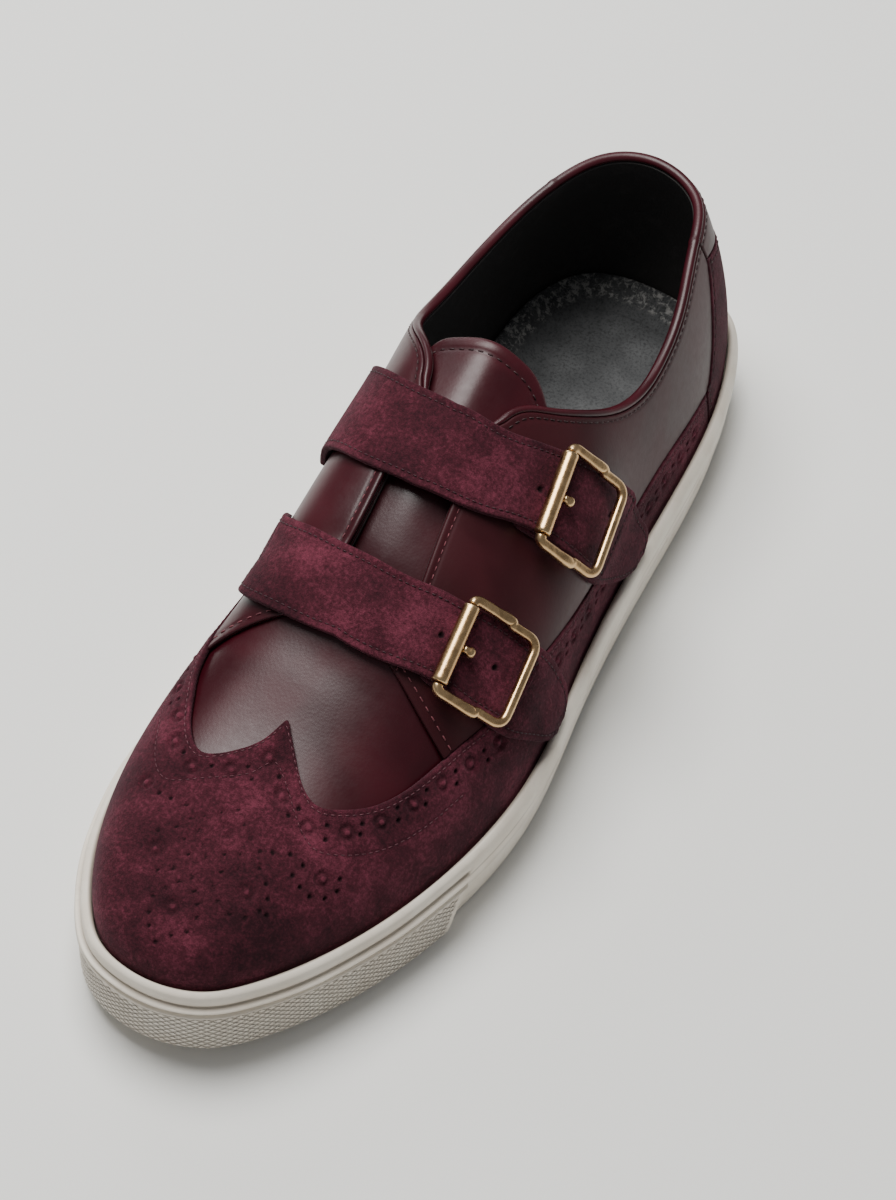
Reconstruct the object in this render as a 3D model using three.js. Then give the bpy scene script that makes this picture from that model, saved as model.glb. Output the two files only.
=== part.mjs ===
import * as THREE from 'three';

// Low double monk strap shoe on a rubber cup sole, left foot. Millimetres.
// Toe toward -Y, heel toward +Y, outer (lateral) side toward +X, floor at Z = 0,
// origin on the floor under the middle of the heel seat.

// Driving sizes
const LENGTH = 300;          // outsole, heel to toe
const HEEL_BACK = 42;        // from the origin to the rearmost point
const BALL_WIDTH = 104;      // outsole across the ball
const LAST_HEIGHT = 112;     // floor to the comb of the last, above the collar
const WALL = 26;             // height of the rubber wall
const TOE_SPRING = 6.2;      // lift of the toe tip
const LIP = 3.2;             // thickness of the rubber lip
const FOOT_LEVEL = 22;       // where the upper enters the cup
const FOOT_INSET = 4;        // from the outline to the face of the upper
const SEAT = 13;             // level of the footbed at the heel
const BALL_SEAT = 10;        // level of the footbed under the ball
const ROLLER_RADIUS = 2.3;
const BAR_RADIUS = 1.45;
const PRONG_RISE = 0.55;

// Depths of the layers, measured from the outer face of the upper
const LINING_IN = -3.5;
const SHELL_OUT = -1.85;
const QUARTER_IN = -1.2;
const QUARTER_OUT = -0.1;
const SUEDE_IN = -1.2;
const SUEDE_OUT = 0.4;
const TONGUE_IN = -6.3;
const TONGUE_OUT = -4.5;
const STRAP_LOW = 0.2;
const STRAP_HIGH = 1.6;
const STRAP_THICK = 1.8;
const CHAPE_LOW = 0.2;
const CHAPE_HIGH = 0.75;
const CHAPE_THICK = 1.0;

// Stations run from the middle of the heel (0) to the tip of the toe (1) on both sides.

// around: station; along: share of LENGTH; lateral, medial: shares of BALL_WIDTH
const OUTLINE = [
  { around: 0.000, along: 0.000, lateral: 0.000, medial: 0.000 },
  { around: 0.060, along: 0.020, lateral: 0.250, medial: 0.216 },
  { around: 0.120, along: 0.075, lateral: 0.358, medial: 0.327 },
  { around: 0.220, along: 0.180, lateral: 0.423, medial: 0.370 },
  { around: 0.340, along: 0.330, lateral: 0.438, medial: 0.365 },
  { around: 0.460, along: 0.490, lateral: 0.462, medial: 0.380 },
  { around: 0.580, along: 0.640, lateral: 0.498, medial: 0.438 },
  { around: 0.690, along: 0.770, lateral: 0.431, medial: 0.489 },
  { around: 0.800, along: 0.880, lateral: 0.303, medial: 0.444 },
  { around: 0.900, along: 0.960, lateral: 0.147, medial: 0.332 },
  { around: 0.955, along: 0.990, lateral: 0.038, medial: 0.231 },
  { around: 1.000, along: 1.000, lateral: -0.096, medial: 0.096 },
];

// Comb of the last. along: share of LENGTH; side: share of BALL_WIDTH; height: share of LAST_HEIGHT
const COMB = [
  { along: 0.120, side: 0.000, height: 1.000 },
  { along: 0.180, side: -0.010, height: 1.000 },
  { along: 0.240, side: -0.024, height: 0.987 },
  { along: 0.307, side: -0.038, height: 0.951 },
  { along: 0.373, side: -0.043, height: 0.902 },
  { along: 0.430, side: -0.043, height: 0.857 },
  { along: 0.510, side: -0.043, height: 0.786 },
  { along: 0.560, side: -0.048, height: 0.732 },
  { along: 0.620, side: -0.053, height: 0.670 },
  { along: 0.680, side: -0.062, height: 0.598 },
  { along: 0.740, side: -0.077, height: 0.527 },
  { along: 0.800, side: -0.091, height: 0.473 },
  { along: 0.860, side: -0.106, height: 0.438 },
  { along: 0.900, side: -0.111, height: 0.411 },
];

// Where each station meets the comb. around: station; along: share of LENGTH
const MEETING = [
  { around: 0.00, along: 0.123 },
  { around: 0.06, along: 0.130 },
  { around: 0.12, along: 0.157 },
  { around: 0.22, along: 0.227 },
  { around: 0.30, along: 0.283 },
  { around: 0.36, along: 0.330 },
  { around: 0.43, along: 0.390 },
  { around: 0.46, along: 0.417 },
  { around: 0.52, along: 0.480 },
  { around: 0.58, along: 0.553 },
  { around: 0.64, along: 0.623 },
  { around: 0.69, along: 0.673 },
  { around: 0.75, along: 0.723 },
  { around: 0.80, along: 0.760 },
  { around: 0.90, along: 0.807 },
  { around: 1.00, along: 0.827 },
];

// Fullness of the walls. lean: outward per unit of rise at the sole;
// wall, shoulder: pull up from the sole and out from the comb, shares of LAST_HEIGHT
const FULLNESS = [
  { around: 0.00, leanL: 0.08, leanM: 0.08, wallL: 0.268, wallM: 0.268, shoulderL: 0.205, shoulderM: 0.205 },
  { around: 0.06, leanL: 0.04, leanM: 0.06, wallL: 0.268, wallM: 0.268, shoulderL: 0.188, shoulderM: 0.196 },
  { around: 0.12, leanL: -0.02, leanM: 0.06, wallL: 0.268, wallM: 0.268, shoulderL: 0.179, shoulderM: 0.214 },
  { around: 0.22, leanL: -0.06, leanM: 0.08, wallL: 0.268, wallM: 0.286, shoulderL: 0.196, shoulderM: 0.295 },
  { around: 0.30, leanL: -0.06, leanM: 0.13, wallL: 0.259, wallM: 0.304, shoulderL: 0.196, shoulderM: 0.330 },
  { around: 0.36, leanL: -0.06, leanM: 0.14, wallL: 0.250, wallM: 0.321, shoulderL: 0.179, shoulderM: 0.339 },
  { around: 0.43, leanL: -0.06, leanM: 0.12, wallL: 0.250, wallM: 0.339, shoulderL: 0.170, shoulderM: 0.312 },
  { around: 0.52, leanL: -0.04, leanM: 0.09, wallL: 0.232, wallM: 0.357, shoulderL: 0.179, shoulderM: 0.286 },
  { around: 0.58, leanL: 0.02, leanM: 0.06, wallL: 0.196, wallM: 0.312, shoulderL: 0.214, shoulderM: 0.259 },
  { around: 0.64, leanL: 0.10, leanM: 0.10, wallL: 0.161, wallM: 0.232, shoulderL: 0.241, shoulderM: 0.250 },
  { around: 0.69, leanL: 0.16, leanM: 0.16, wallL: 0.143, wallM: 0.179, shoulderL: 0.250, shoulderM: 0.259 },
  { around: 0.75, leanL: 0.18, leanM: 0.18, wallL: 0.134, wallM: 0.161, shoulderL: 0.250, shoulderM: 0.268 },
  { around: 0.80, leanL: 0.18, leanM: 0.18, wallL: 0.134, wallM: 0.152, shoulderL: 0.250, shoulderM: 0.286 },
  { around: 0.90, leanL: 0.18, leanM: 0.18, wallL: 0.143, wallM: 0.152, shoulderL: 0.268, shoulderM: 0.304 },
  { around: 1.00, leanL: 0.18, leanM: 0.18, wallL: 0.152, wallM: 0.152, shoulderL: 0.286, shoulderM: 0.286 },
];

// Fullness of the lateral side under the upper buckle. around, across: its middle;
// wide, deep: its reach in the same shares; height: share of BALL_WIDTH
const BUCKLE_FULLNESS = { around: 0.44, across: 0.62, wide: 0.085, deep: 0.17, height: 0.048 };

// Collar and facing edge, as share of girth from comb (0) to sole (1)
const TOPLINE = [
  { around: 0.00, lateral: 0.446, medial: 0.446 },
  { around: 0.06, lateral: 0.453, medial: 0.453 },
  { around: 0.12, lateral: 0.473, medial: 0.473 },
  { around: 0.16, lateral: 0.500, medial: 0.496 },
  { around: 0.20, lateral: 0.536, medial: 0.514 },
  { around: 0.25, lateral: 0.562, medial: 0.518 },
  { around: 0.30, lateral: 0.558, medial: 0.500 },
  { around: 0.35, lateral: 0.490, medial: 0.438 },
  { around: 0.39, lateral: 0.396, medial: 0.340 },
  { around: 0.42, lateral: 0.312, medial: 0.246 },
  { around: 0.45, lateral: 0.222, medial: 0.166 },
  { around: 0.48, lateral: 0.172, medial: 0.128 },
  { around: 0.52, lateral: 0.152, medial: 0.122 },
  { around: 0.57, lateral: 0.155, medial: 0.120 },
  { around: 0.62, lateral: 0.182, medial: 0.125 },
  { around: 0.67, lateral: 0.208, medial: 0.183 },
];

// Upper edge of the suede wing and toe piece. side: +1 lateral, -1 medial;
// around, girth: the edge; foot: station on the sole that it runs down to
const WING = [
  { side: 1, around: 0.205, girth: 0.860, foot: 0.205 },
  { side: 1, around: 0.250, girth: 0.838, foot: 0.250 },
  { side: 1, around: 0.303, girth: 0.815, foot: 0.303 },
  { side: 1, around: 0.360, girth: 0.805, foot: 0.360 },
  { side: 1, around: 0.430, girth: 0.775, foot: 0.430 },
  { side: 1, around: 0.500, girth: 0.725, foot: 0.500 },
  { side: 1, around: 0.560, girth: 0.664, foot: 0.560 },
  { side: 1, around: 0.620, girth: 0.602, foot: 0.622 },
  { side: 1, around: 0.642, girth: 0.571, foot: 0.652 },
  { side: 1, around: 0.679, girth: 0.533, foot: 0.695 },
  { side: 1, around: 0.716, girth: 0.494, foot: 0.742 },
  { side: 1, around: 0.751, girth: 0.434, foot: 0.790 },
  { side: 1, around: 0.782, girth: 0.354, foot: 0.832 },
  { side: 1, around: 0.805, girth: 0.270, foot: 0.868 },
  { side: 1, around: 0.810, girth: 0.178, foot: 0.902 },
  { side: 1, around: 0.802, girth: 0.110, foot: 0.932 },
  { side: 1, around: 0.789, girth: 0.036, foot: 0.960 },
  { side: 1, around: 0.786, girth: 0.004, foot: 0.985 },
  { side: -1, around: 0.811, girth: 0.018, foot: 0.990 },
  { side: -1, around: 0.831, girth: 0.068, foot: 0.962 },
  { side: -1, around: 0.834, girth: 0.155, foot: 0.925 },
  { side: -1, around: 0.815, girth: 0.238, foot: 0.885 },
  { side: -1, around: 0.770, girth: 0.347, foot: 0.830 },
  { side: -1, around: 0.733, girth: 0.420, foot: 0.775 },
  { side: -1, around: 0.695, girth: 0.500, foot: 0.722 },
  { side: -1, around: 0.655, girth: 0.572, foot: 0.672 },
  { side: -1, around: 0.600, girth: 0.650, foot: 0.608 },
  { side: -1, around: 0.540, girth: 0.715, foot: 0.545 },
  { side: -1, around: 0.470, girth: 0.770, foot: 0.470 },
  { side: -1, around: 0.400, girth: 0.805, foot: 0.400 },
  { side: -1, around: 0.330, girth: 0.822, foot: 0.330 },
  { side: -1, around: 0.260, girth: 0.840, foot: 0.260 },
  { side: -1, around: 0.205, girth: 0.860, foot: 0.205 },
];

// Front edge of the heel counter, both sides
const COUNTER_FRONT = [
  { around: 0.124, girth: 0.575 },
  { around: 0.133, girth: 0.620 },
  { around: 0.152, girth: 0.700 },
  { around: 0.174, girth: 0.785 },
  { around: 0.197, girth: 0.858 },
];

// Straps. across: signed girth, medial negative; rear, front: stations of the two edges
const STRAP_UPPER = [
  { across: -0.640, rear: 0.378, front: 0.484 },
  { across: -0.470, rear: 0.419, front: 0.513 },
  { across: -0.220, rear: 0.477, front: 0.553 },
  { across: -0.080, rear: 0.491, front: 0.561 },
  { across: 0.050, rear: 0.492, front: 0.560 },
  { across: 0.180, rear: 0.485, front: 0.552 },
  { across: 0.300, rear: 0.464, front: 0.535 },
  { across: 0.420, rear: 0.433, front: 0.510 },
  { across: 0.550, rear: 0.400, front: 0.485 },
  { across: 0.700, rear: 0.366, front: 0.456 },
];
const STRAP_LOWER = [
  { across: -0.640, rear: 0.530, front: 0.596 },
  { across: -0.530, rear: 0.559, front: 0.624 },
  { across: -0.280, rear: 0.602, front: 0.669 },
  { across: -0.120, rear: 0.617, front: 0.686 },
  { across: 0.000, rear: 0.619, front: 0.689 },
  { across: 0.120, rear: 0.614, front: 0.680 },
  { across: 0.230, rear: 0.603, front: 0.665 },
  { across: 0.340, rear: 0.590, front: 0.648 },
  { across: 0.460, rear: 0.572, front: 0.633 },
  { across: 0.620, rear: 0.549, front: 0.608 },
];
// Leather that holds each buckle, from below the roller to the sole
const CHAPE_UPPER = [
  { across: 0.370, rear: 0.446, front: 0.522 },
  { across: 0.500, rear: 0.411, front: 0.497 },
  { across: 0.620, rear: 0.382, front: 0.474 },
  { across: 0.740, rear: 0.362, front: 0.447 },
  { across: 0.830, rear: 0.354, front: 0.418 },
  { across: 0.900, rear: 0.353, front: 0.392 },
  { across: 0.925, rear: 0.360, front: 0.380 },
];
const CHAPE_LOWER = [
  { across: 0.300, rear: 0.595, front: 0.656 },
  { across: 0.440, rear: 0.574, front: 0.637 },
  { across: 0.580, rear: 0.550, front: 0.617 },
  { across: 0.700, rear: 0.528, front: 0.598 },
  { across: 0.800, rear: 0.514, front: 0.574 },
  { across: 0.880, rear: 0.515, front: 0.552 },
  { across: 0.905, rear: 0.522, front: 0.542 },
];

// Buckles: where the two ends of roller and outer bar stand over the upper,
// and the lift of the outer bar above the strap
const BUCKLES = {
  upper: {
    lift: 2.0,
    roller: [{ around: 0.441, across: 0.410 }, { around: 0.507, across: 0.440 }],
    outer: [{ around: 0.404, across: 0.592 }, { around: 0.474, across: 0.639 }],
  },
  lower: {
    lift: 1.5,
    roller: [{ around: 0.594, across: 0.338 }, { around: 0.645, across: 0.358 }],
    outer: [{ around: 0.548, across: 0.590 }, { around: 0.615, across: 0.600 }],
  },
};

// Colours
const PLUM_LEATHER = 0x4a2830;
const PLUM_SUEDE = 0x5a2b3a;
const OFF_WHITE = 0xc9c2b8;
const CHARCOAL = 0x3a3b3b;
const ANTIQUE_BRASS = 0xb08d57;

// Splines
// Cubic through knots with given end slopes, or natural ends when a slope is null
function cubic(xs, ys, slope0, slope1) {
  const n = xs.length;
  const a = new Array(n).fill(0);
  const b = new Array(n).fill(0);
  const c = new Array(n).fill(0);
  const r = new Array(n).fill(0);
  for (let i = 1; i < n - 1; i++) {
    a[i] = xs[i] - xs[i - 1];
    c[i] = xs[i + 1] - xs[i];
    b[i] = 2 * (a[i] + c[i]);
    r[i] = 6 * ((ys[i + 1] - ys[i]) / c[i] - (ys[i] - ys[i - 1]) / a[i]);
  }
  const first = xs[1] - xs[0];
  const last = xs[n - 1] - xs[n - 2];
  b[0] = slope0 === null ? 1 : 2 * first;
  c[0] = slope0 === null ? 0 : first;
  r[0] = slope0 === null ? 0 : 6 * ((ys[1] - ys[0]) / first - slope0);
  b[n - 1] = slope1 === null ? 1 : 2 * last;
  a[n - 1] = slope1 === null ? 0 : last;
  r[n - 1] = slope1 === null ? 0 : 6 * (slope1 - (ys[n - 1] - ys[n - 2]) / last);
  for (let i = 1; i < n; i++) {
    const k = a[i] / b[i - 1];
    b[i] -= k * c[i - 1];
    r[i] -= k * r[i - 1];
  }
  const m = new Array(n).fill(0);
  m[n - 1] = r[n - 1] / b[n - 1];
  for (let i = n - 2; i >= 0; i--) {
    m[i] = (r[i] - c[i] * m[i + 1]) / b[i];
  }
  const segment = (x) => {
    let i = 0;
    while (i < n - 2 && x > xs[i + 1]) i++;
    return i;
  };
  const value = (x) => {
    const i = segment(x);
    const h = xs[i + 1] - xs[i];
    const u = (xs[i + 1] - x) / h;
    const v = (x - xs[i]) / h;
    return u * ys[i] + v * ys[i + 1] + ((u * u * u - u) * m[i] + (v * v * v - v) * m[i + 1]) * h * h / 6;
  };
  const slope = (x) => {
    const i = segment(x);
    const h = xs[i + 1] - xs[i];
    const u = (xs[i + 1] - x) / h;
    const v = (x - xs[i]) / h;
    return (ys[i + 1] - ys[i]) / h + ((3 * v * v - 1) * m[i + 1] - (3 * u * u - 1) * m[i]) * h / 6;
  };
  return { value, slope };
}

// Closed curve around the shoe: lateral side on 0..1, medial side on 1..2.
// Three turns of knots are used, so that the middle one has no ends.
function aroundShoe(rows, lateral, medial) {
  const xs = [];
  const ys = [];
  const last = rows.length - 1;
  for (let turn = -1; turn <= 1; turn++) {
    rows.forEach((row) => {
      xs.push(2 * turn + row.around);
      ys.push(lateral(row));
    });
    for (let i = last - 1; i > 0; i--) {
      xs.push(2 * turn + 2 - rows[i].around);
      ys.push(medial(rows[i]));
    }
  }
  return cubic(xs, ys, null, null);
}

const column = (rows, name, scale = 1) => rows.map((row) => row[name] * scale);
const alongToY = (along) => HEEL_BACK - LENGTH * along;
const outlineX = aroundShoe(OUTLINE, (r) => r.lateral * BALL_WIDTH, (r) => -r.medial * BALL_WIDTH);
const outlineY = aroundShoe(OUTLINE, (r) => alongToY(r.along), (r) => alongToY(r.along));
const leanOf = aroundShoe(FULLNESS, (r) => r.leanL, (r) => r.leanM);
const wallOf = aroundShoe(FULLNESS, (r) => r.wallL * LAST_HEIGHT, (r) => r.wallM * LAST_HEIGHT);
const shoulderOf = aroundShoe(FULLNESS, (r) => r.shoulderL * LAST_HEIGHT, (r) => r.shoulderM * LAST_HEIGHT);
const combX = cubic(column(COMB, 'along'), column(COMB, 'side', BALL_WIDTH), null, null);
const combZ = cubic(column(COMB, 'along'), column(COMB, 'height', LAST_HEIGHT), null, null);
const meeting = cubic(column(MEETING, 'around'), column(MEETING, 'along'), 0, 0);

// Last
const clamp = (x, low, high) => Math.min(high, Math.max(low, x));
const smooth = (x, from, to) => {
  const k = clamp((x - from) / (to - from), 0, 1);
  return k * k * (3 - 2 * k);
};
const springAt = (y) => TOE_SPRING * Math.pow(clamp(((HEEL_BACK - y) / LENGTH - 0.715) / 0.285, 0, 1), 1.8);
const turnOf = (around, side) => (side > 0 ? around : (2 - around) % 2);

// Point of the outline moved inward, and its outward direction
function outlineAt(turn, inset) {
  const dx = outlineX.slope(turn);
  const dy = outlineY.slope(turn);
  const size = Math.hypot(dx, dy);
  const nx = -dy / size;
  const ny = dx / size;
  return { x: outlineX.value(turn) - nx * inset, y: outlineY.value(turn) - ny * inset, nx, ny };
}

const mix = (a, b, k) => a + (b - a) * k;

// Outer face of the upper at a station and a share of girth (0 comb, 1 sole)
function face(around, girth, side) {
  const turn = turnOf(around, side);
  const foot = outlineAt(turn, FOOT_INSET);
  const along = meeting.value(around);
  const top = [combX.value(along), alongToY(along), combZ.value(along)];
  const rise = combZ.slope(along) / LENGTH;
  const run = Math.hypot(1, rise);
  let out = [foot.nx, foot.ny / run, -foot.ny * rise / run];
  const size = Math.hypot(...out);
  out = out.map((v) => v / size);
  const lean = leanOf.value(turn);
  const up = Math.hypot(1, lean);
  const pull = wallOf.value(turn);
  const reach = shoulderOf.value(turn);
  const base = [foot.x, foot.y, FOOT_LEVEL + springAt(foot.y)];
  const tilt = lean * pull / up;
  const low = [base[0] + foot.nx * tilt, base[1] + foot.ny * tilt, base[2] + pull / up];
  const high = [0, 1, 2].map((i) => top[i] + out[i] * reach);
  const v = 1 - girth;
  const u = girth;
  return [0, 1, 2].map((i) => (
    base[i] * u ** 3 + 3 * low[i] * u * u * v + 3 * high[i] * u * v * v + top[i] * v ** 3));
}

const sub = (a, b) => [a[0] - b[0], a[1] - b[1], a[2] - b[2]];
const cross = (a, b) => [a[1] * b[2] - a[2] * b[1], a[2] * b[0] - a[0] * b[2], a[0] * b[1] - a[1] * b[0]];
const unit = (a) => {
  const size = Math.hypot(...a) || 1;
  return a.map((v) => v / size);
};

// Flat map of the upper, used where lines cross the toe
// Every station is a straight line from the comb to the sole outline
function spokes(around, side) {
  const foot = outlineAt(turnOf(around, side), FOOT_INSET);
  const along = meeting.value(around);
  return { ex: combX.value(along), ey: alongToY(along), fx: foot.x, fy: foot.y };
}
function toMap(around, girth, side) {
  const s = spokes(around, side);
  return [mix(s.ex, s.fx, girth), mix(s.ey, s.fy, girth)];
}
function fromMap(x, y) {
  const tip = spokes(1, 1);
  const heel = spokes(0, 1);
  let line = combX.value(clamp((HEEL_BACK - y) / LENGTH, 0.123, 0.827));
  if (y < tip.ey) line = mix(tip.ex, tip.fx, (y - tip.ey) / (tip.fy - tip.ey));
  if (y > heel.ey) line = mix(heel.ex, heel.fx, (y - heel.ey) / (heel.fy - heel.ey));
  const side = x >= line ? 1 : -1;
  let low = 0;
  let high = 1;
  for (let i = 0; i < 40; i++) {
    const mid = (low + high) / 2;
    const s = spokes(mid, side);
    const turned = (s.fx - s.ex) * (y - s.ey) - (s.fy - s.ey) * (x - s.ex);
    if (turned * side > 0) high = mid;
    else low = mid;
  }
  const s = spokes(low, side);
  const size = (s.fx - s.ex) ** 2 + (s.fy - s.ey) ** 2;
  const girth = clamp(((x - s.ex) * (s.fx - s.ex) + (y - s.ey) * (s.fy - s.ey)) / size, 0, 1);
  return { around: low, across: girth * side };
}

// Outward normal; across the comb both sides are sampled so that it turns evenly there
function normalAt(around, girth, side) {
  if (around > 0.8 && girth < 0.35) {
    const [x, y] = toMap(around, girth, side);
    const at = (dx, dy) => {
      const q = fromMap(x + dx, y + dy);
      return face(q.around, Math.abs(q.across), q.across < 0 ? -1 : 1);
    };
    return unit(cross(sub(at(0.6, 0), at(-0.6, 0)), sub(at(0, 0.6), at(0, -0.6))));
  }
  const step = 0.004;
  const a0 = Math.max(around - step, 0);
  const a1 = Math.min(around + step, 1);
  const g = Math.max(girth, 0.02);
  const along = sub(face(a1, g, side), face(a0, g, side));
  const down = girth < 0.02
    ? sub(face(around, 0.02, side), face(around, 0.02, -side))
    : sub(face(around, Math.min(girth + step, 1), side), face(around, girth - step, side));
  const n = unit(cross(down, along));
  return side > 0 ? n.map((v) => -v) : n;
}

// Point over the upper: signed girth (medial negative) and depth from its outer face
function fullnessAt(around, across) {
  const a = (around - BUCKLE_FULLNESS.around) / BUCKLE_FULLNESS.wide;
  const b = (across - BUCKLE_FULLNESS.across) / BUCKLE_FULLNESS.deep;
  return BUCKLE_FULLNESS.height * BALL_WIDTH * Math.exp(-a * a - b * b);
}

function over(around, across, depth) {
  const side = across >= 0 ? 1 : -1;
  const girth = Math.min(Math.abs(across), 1);
  const p = face(around, girth, side);
  const n = normalAt(around, girth, side);
  const out = depth + fullnessAt(around, across);
  return [p[0] + n[0] * out, p[1] + n[1] * out, p[2] + n[2] * out];
}

// Meshes
const group = new THREE.Group();
group.name = 'monk_strap_shoe';

function addMesh(name, points, faces, color, roughness, metalness) {
  let volume = 0;
  faces.forEach(([a, b, c]) => {
    const n = cross(points[b], points[c]);
    volume += points[a][0] * n[0] + points[a][1] * n[1] + points[a][2] * n[2];
  });
  const wound = volume < 0 ? faces.map(([a, b, c]) => [a, c, b]) : faces;
  const geometry = new THREE.BufferGeometry();
  geometry.setAttribute('position', new THREE.Float32BufferAttribute(points.flat(), 3));
  geometry.setIndex(wound.flat());
  geometry.computeVertexNormals();
  const mesh = new THREE.Mesh(geometry, new THREE.MeshStandardMaterial({ color, roughness, metalness }));
  mesh.name = name;
  group.add(mesh);
}

// Closed solid between two sheets given as equal grids of points
function slab(outer, inner) {
  const rows = outer.length;
  const cols = outer[0].length;
  const points = [...outer.flat(), ...inner.flat()];
  const faces = [];
  const top = (i, j) => i * cols + j;
  const under = (i, j) => rows * cols + i * cols + j;
  const quad = (a, b, c, d) => {
    faces.push([a, b, c], [a, c, d]);
  };
  for (let i = 0; i < rows - 1; i++) {
    for (let j = 0; j < cols - 1; j++) {
      quad(top(i, j), top(i + 1, j), top(i + 1, j + 1), top(i, j + 1));
      quad(under(i, j), under(i, j + 1), under(i + 1, j + 1), under(i + 1, j));
    }
  }
  for (let i = 0; i < rows - 1; i++) {
    quad(top(i, 0), under(i, 0), under(i + 1, 0), top(i + 1, 0));
    quad(top(i, cols - 1), top(i + 1, cols - 1), under(i + 1, cols - 1), under(i, cols - 1));
  }
  for (let j = 0; j < cols - 1; j++) {
    quad(top(0, j), top(0, j + 1), under(0, j + 1), under(0, j));
    quad(top(rows - 1, j), under(rows - 1, j), under(rows - 1, j + 1), top(rows - 1, j + 1));
  }
  return { points, faces };
}

// Panel on the upper: grid of stations, with inner and outer depth at each place
function panel(name, grid, inner, outer, color, roughness) {
  const lift = (depth) => grid.map((row) => row.map((p) => over(p.around, p.across, depth(p))));
  const solid = slab(lift(outer), lift(inner));
  addMesh(name, solid.points, solid.faces, color, roughness, 0);
}

// Even steps from a to b
const steps = (a, b, n) => Array.from({ length: n + 1 }, (_, i) => mix(a, b, i / n));

// Table looked up smoothly by its first column
function lookup(rows, key, name) {
  return cubic(column(rows, key), column(rows, name), null, null).value;
}

const girthOf = (side) => lookup(TOPLINE, 'around', side > 0 ? 'lateral' : 'medial');
const collarEdge = { 1: girthOf(1), '-1': girthOf(-1) };

// Stations used all the way round by sole, upper and toe piece
const HALF = [0, 0.02, 0.04, 0.06, 0.085, 0.115, 0.15, 0.2, 0.24, 0.275, 0.31, 0.34, 0.37, 0.4, 0.43, 0.46,
  0.5, 0.55, 0.6, 0.645, 0.665, 0.7, 0.74, 0.78, 0.815, 0.845, 0.87, 0.89, 0.91, 0.93, 0.95, 0.97, 0.985, 1];
const AROUND = [...HALF, ...HALF.slice(1, -1).reverse().map((t) => 2 - t)];

// Cup sole
const BUMPER_START = 0.69;
const HEEL_BEVEL = 1.4;
const HEEL_BEVEL_START = 0.04;
const ARCH = { rise: 1.6, start: 0.3333, full: 0.42, fall: 0.5, end: 0.5933 };
const SEAT_DROP = { start: 0.2067, end: 0.7067 };
const seatAt = (y) => (
  mix(SEAT, BALL_SEAT, smooth(y, alongToY(SEAT_DROP.start), alongToY(SEAT_DROP.end))) + springAt(y));
const archAt = (y) => (
  ARCH.rise * smooth(y, alongToY(ARCH.start), alongToY(ARCH.full))
  * smooth(y, alongToY(ARCH.end), alongToY(ARCH.fall)));
const heelBevelAt = (y) => HEEL_BEVEL * smooth(y, alongToY(HEEL_BEVEL_START), HEEL_BACK);
const undersideAt = (y) => springAt(y) + archAt(y) + heelBevelAt(y);

// Wall of the rubber from the ground up, all shares of WALL. out: inward from the outline
// behind the bumper; toe: the same on the bumper; height: above the ground line
const WALL_PROFILE = [
  { out: 0.115, toe: 0.023, height: 0 },
  { out: 0.065, toe: -0.042, height: 0.054 },
  { out: 0.029, toe: -0.042, height: 0.473 },
  { out: 0.006, toe: -0.040, height: 0.5 },
  { out: 0.025, toe: -0.038, height: 0.527 },
  { out: 0.015, toe: -0.035, height: 0.669 },
  { out: 0.019, toe: 0.019, height: 0.708 },
  { out: 0, toe: 0, height: 0.746 },
  { out: 0, toe: 0, height: 0.869 },
  { out: 0.015, toe: 0.015, height: 0.95 },
  { out: 0.046, toe: 0.046, height: 0.988 },
  { out: 0.073, toe: 0.073, height: 1 },
];
const BOTTOM_ROWS = 0.08;
const BRIM = 0.981;

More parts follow.
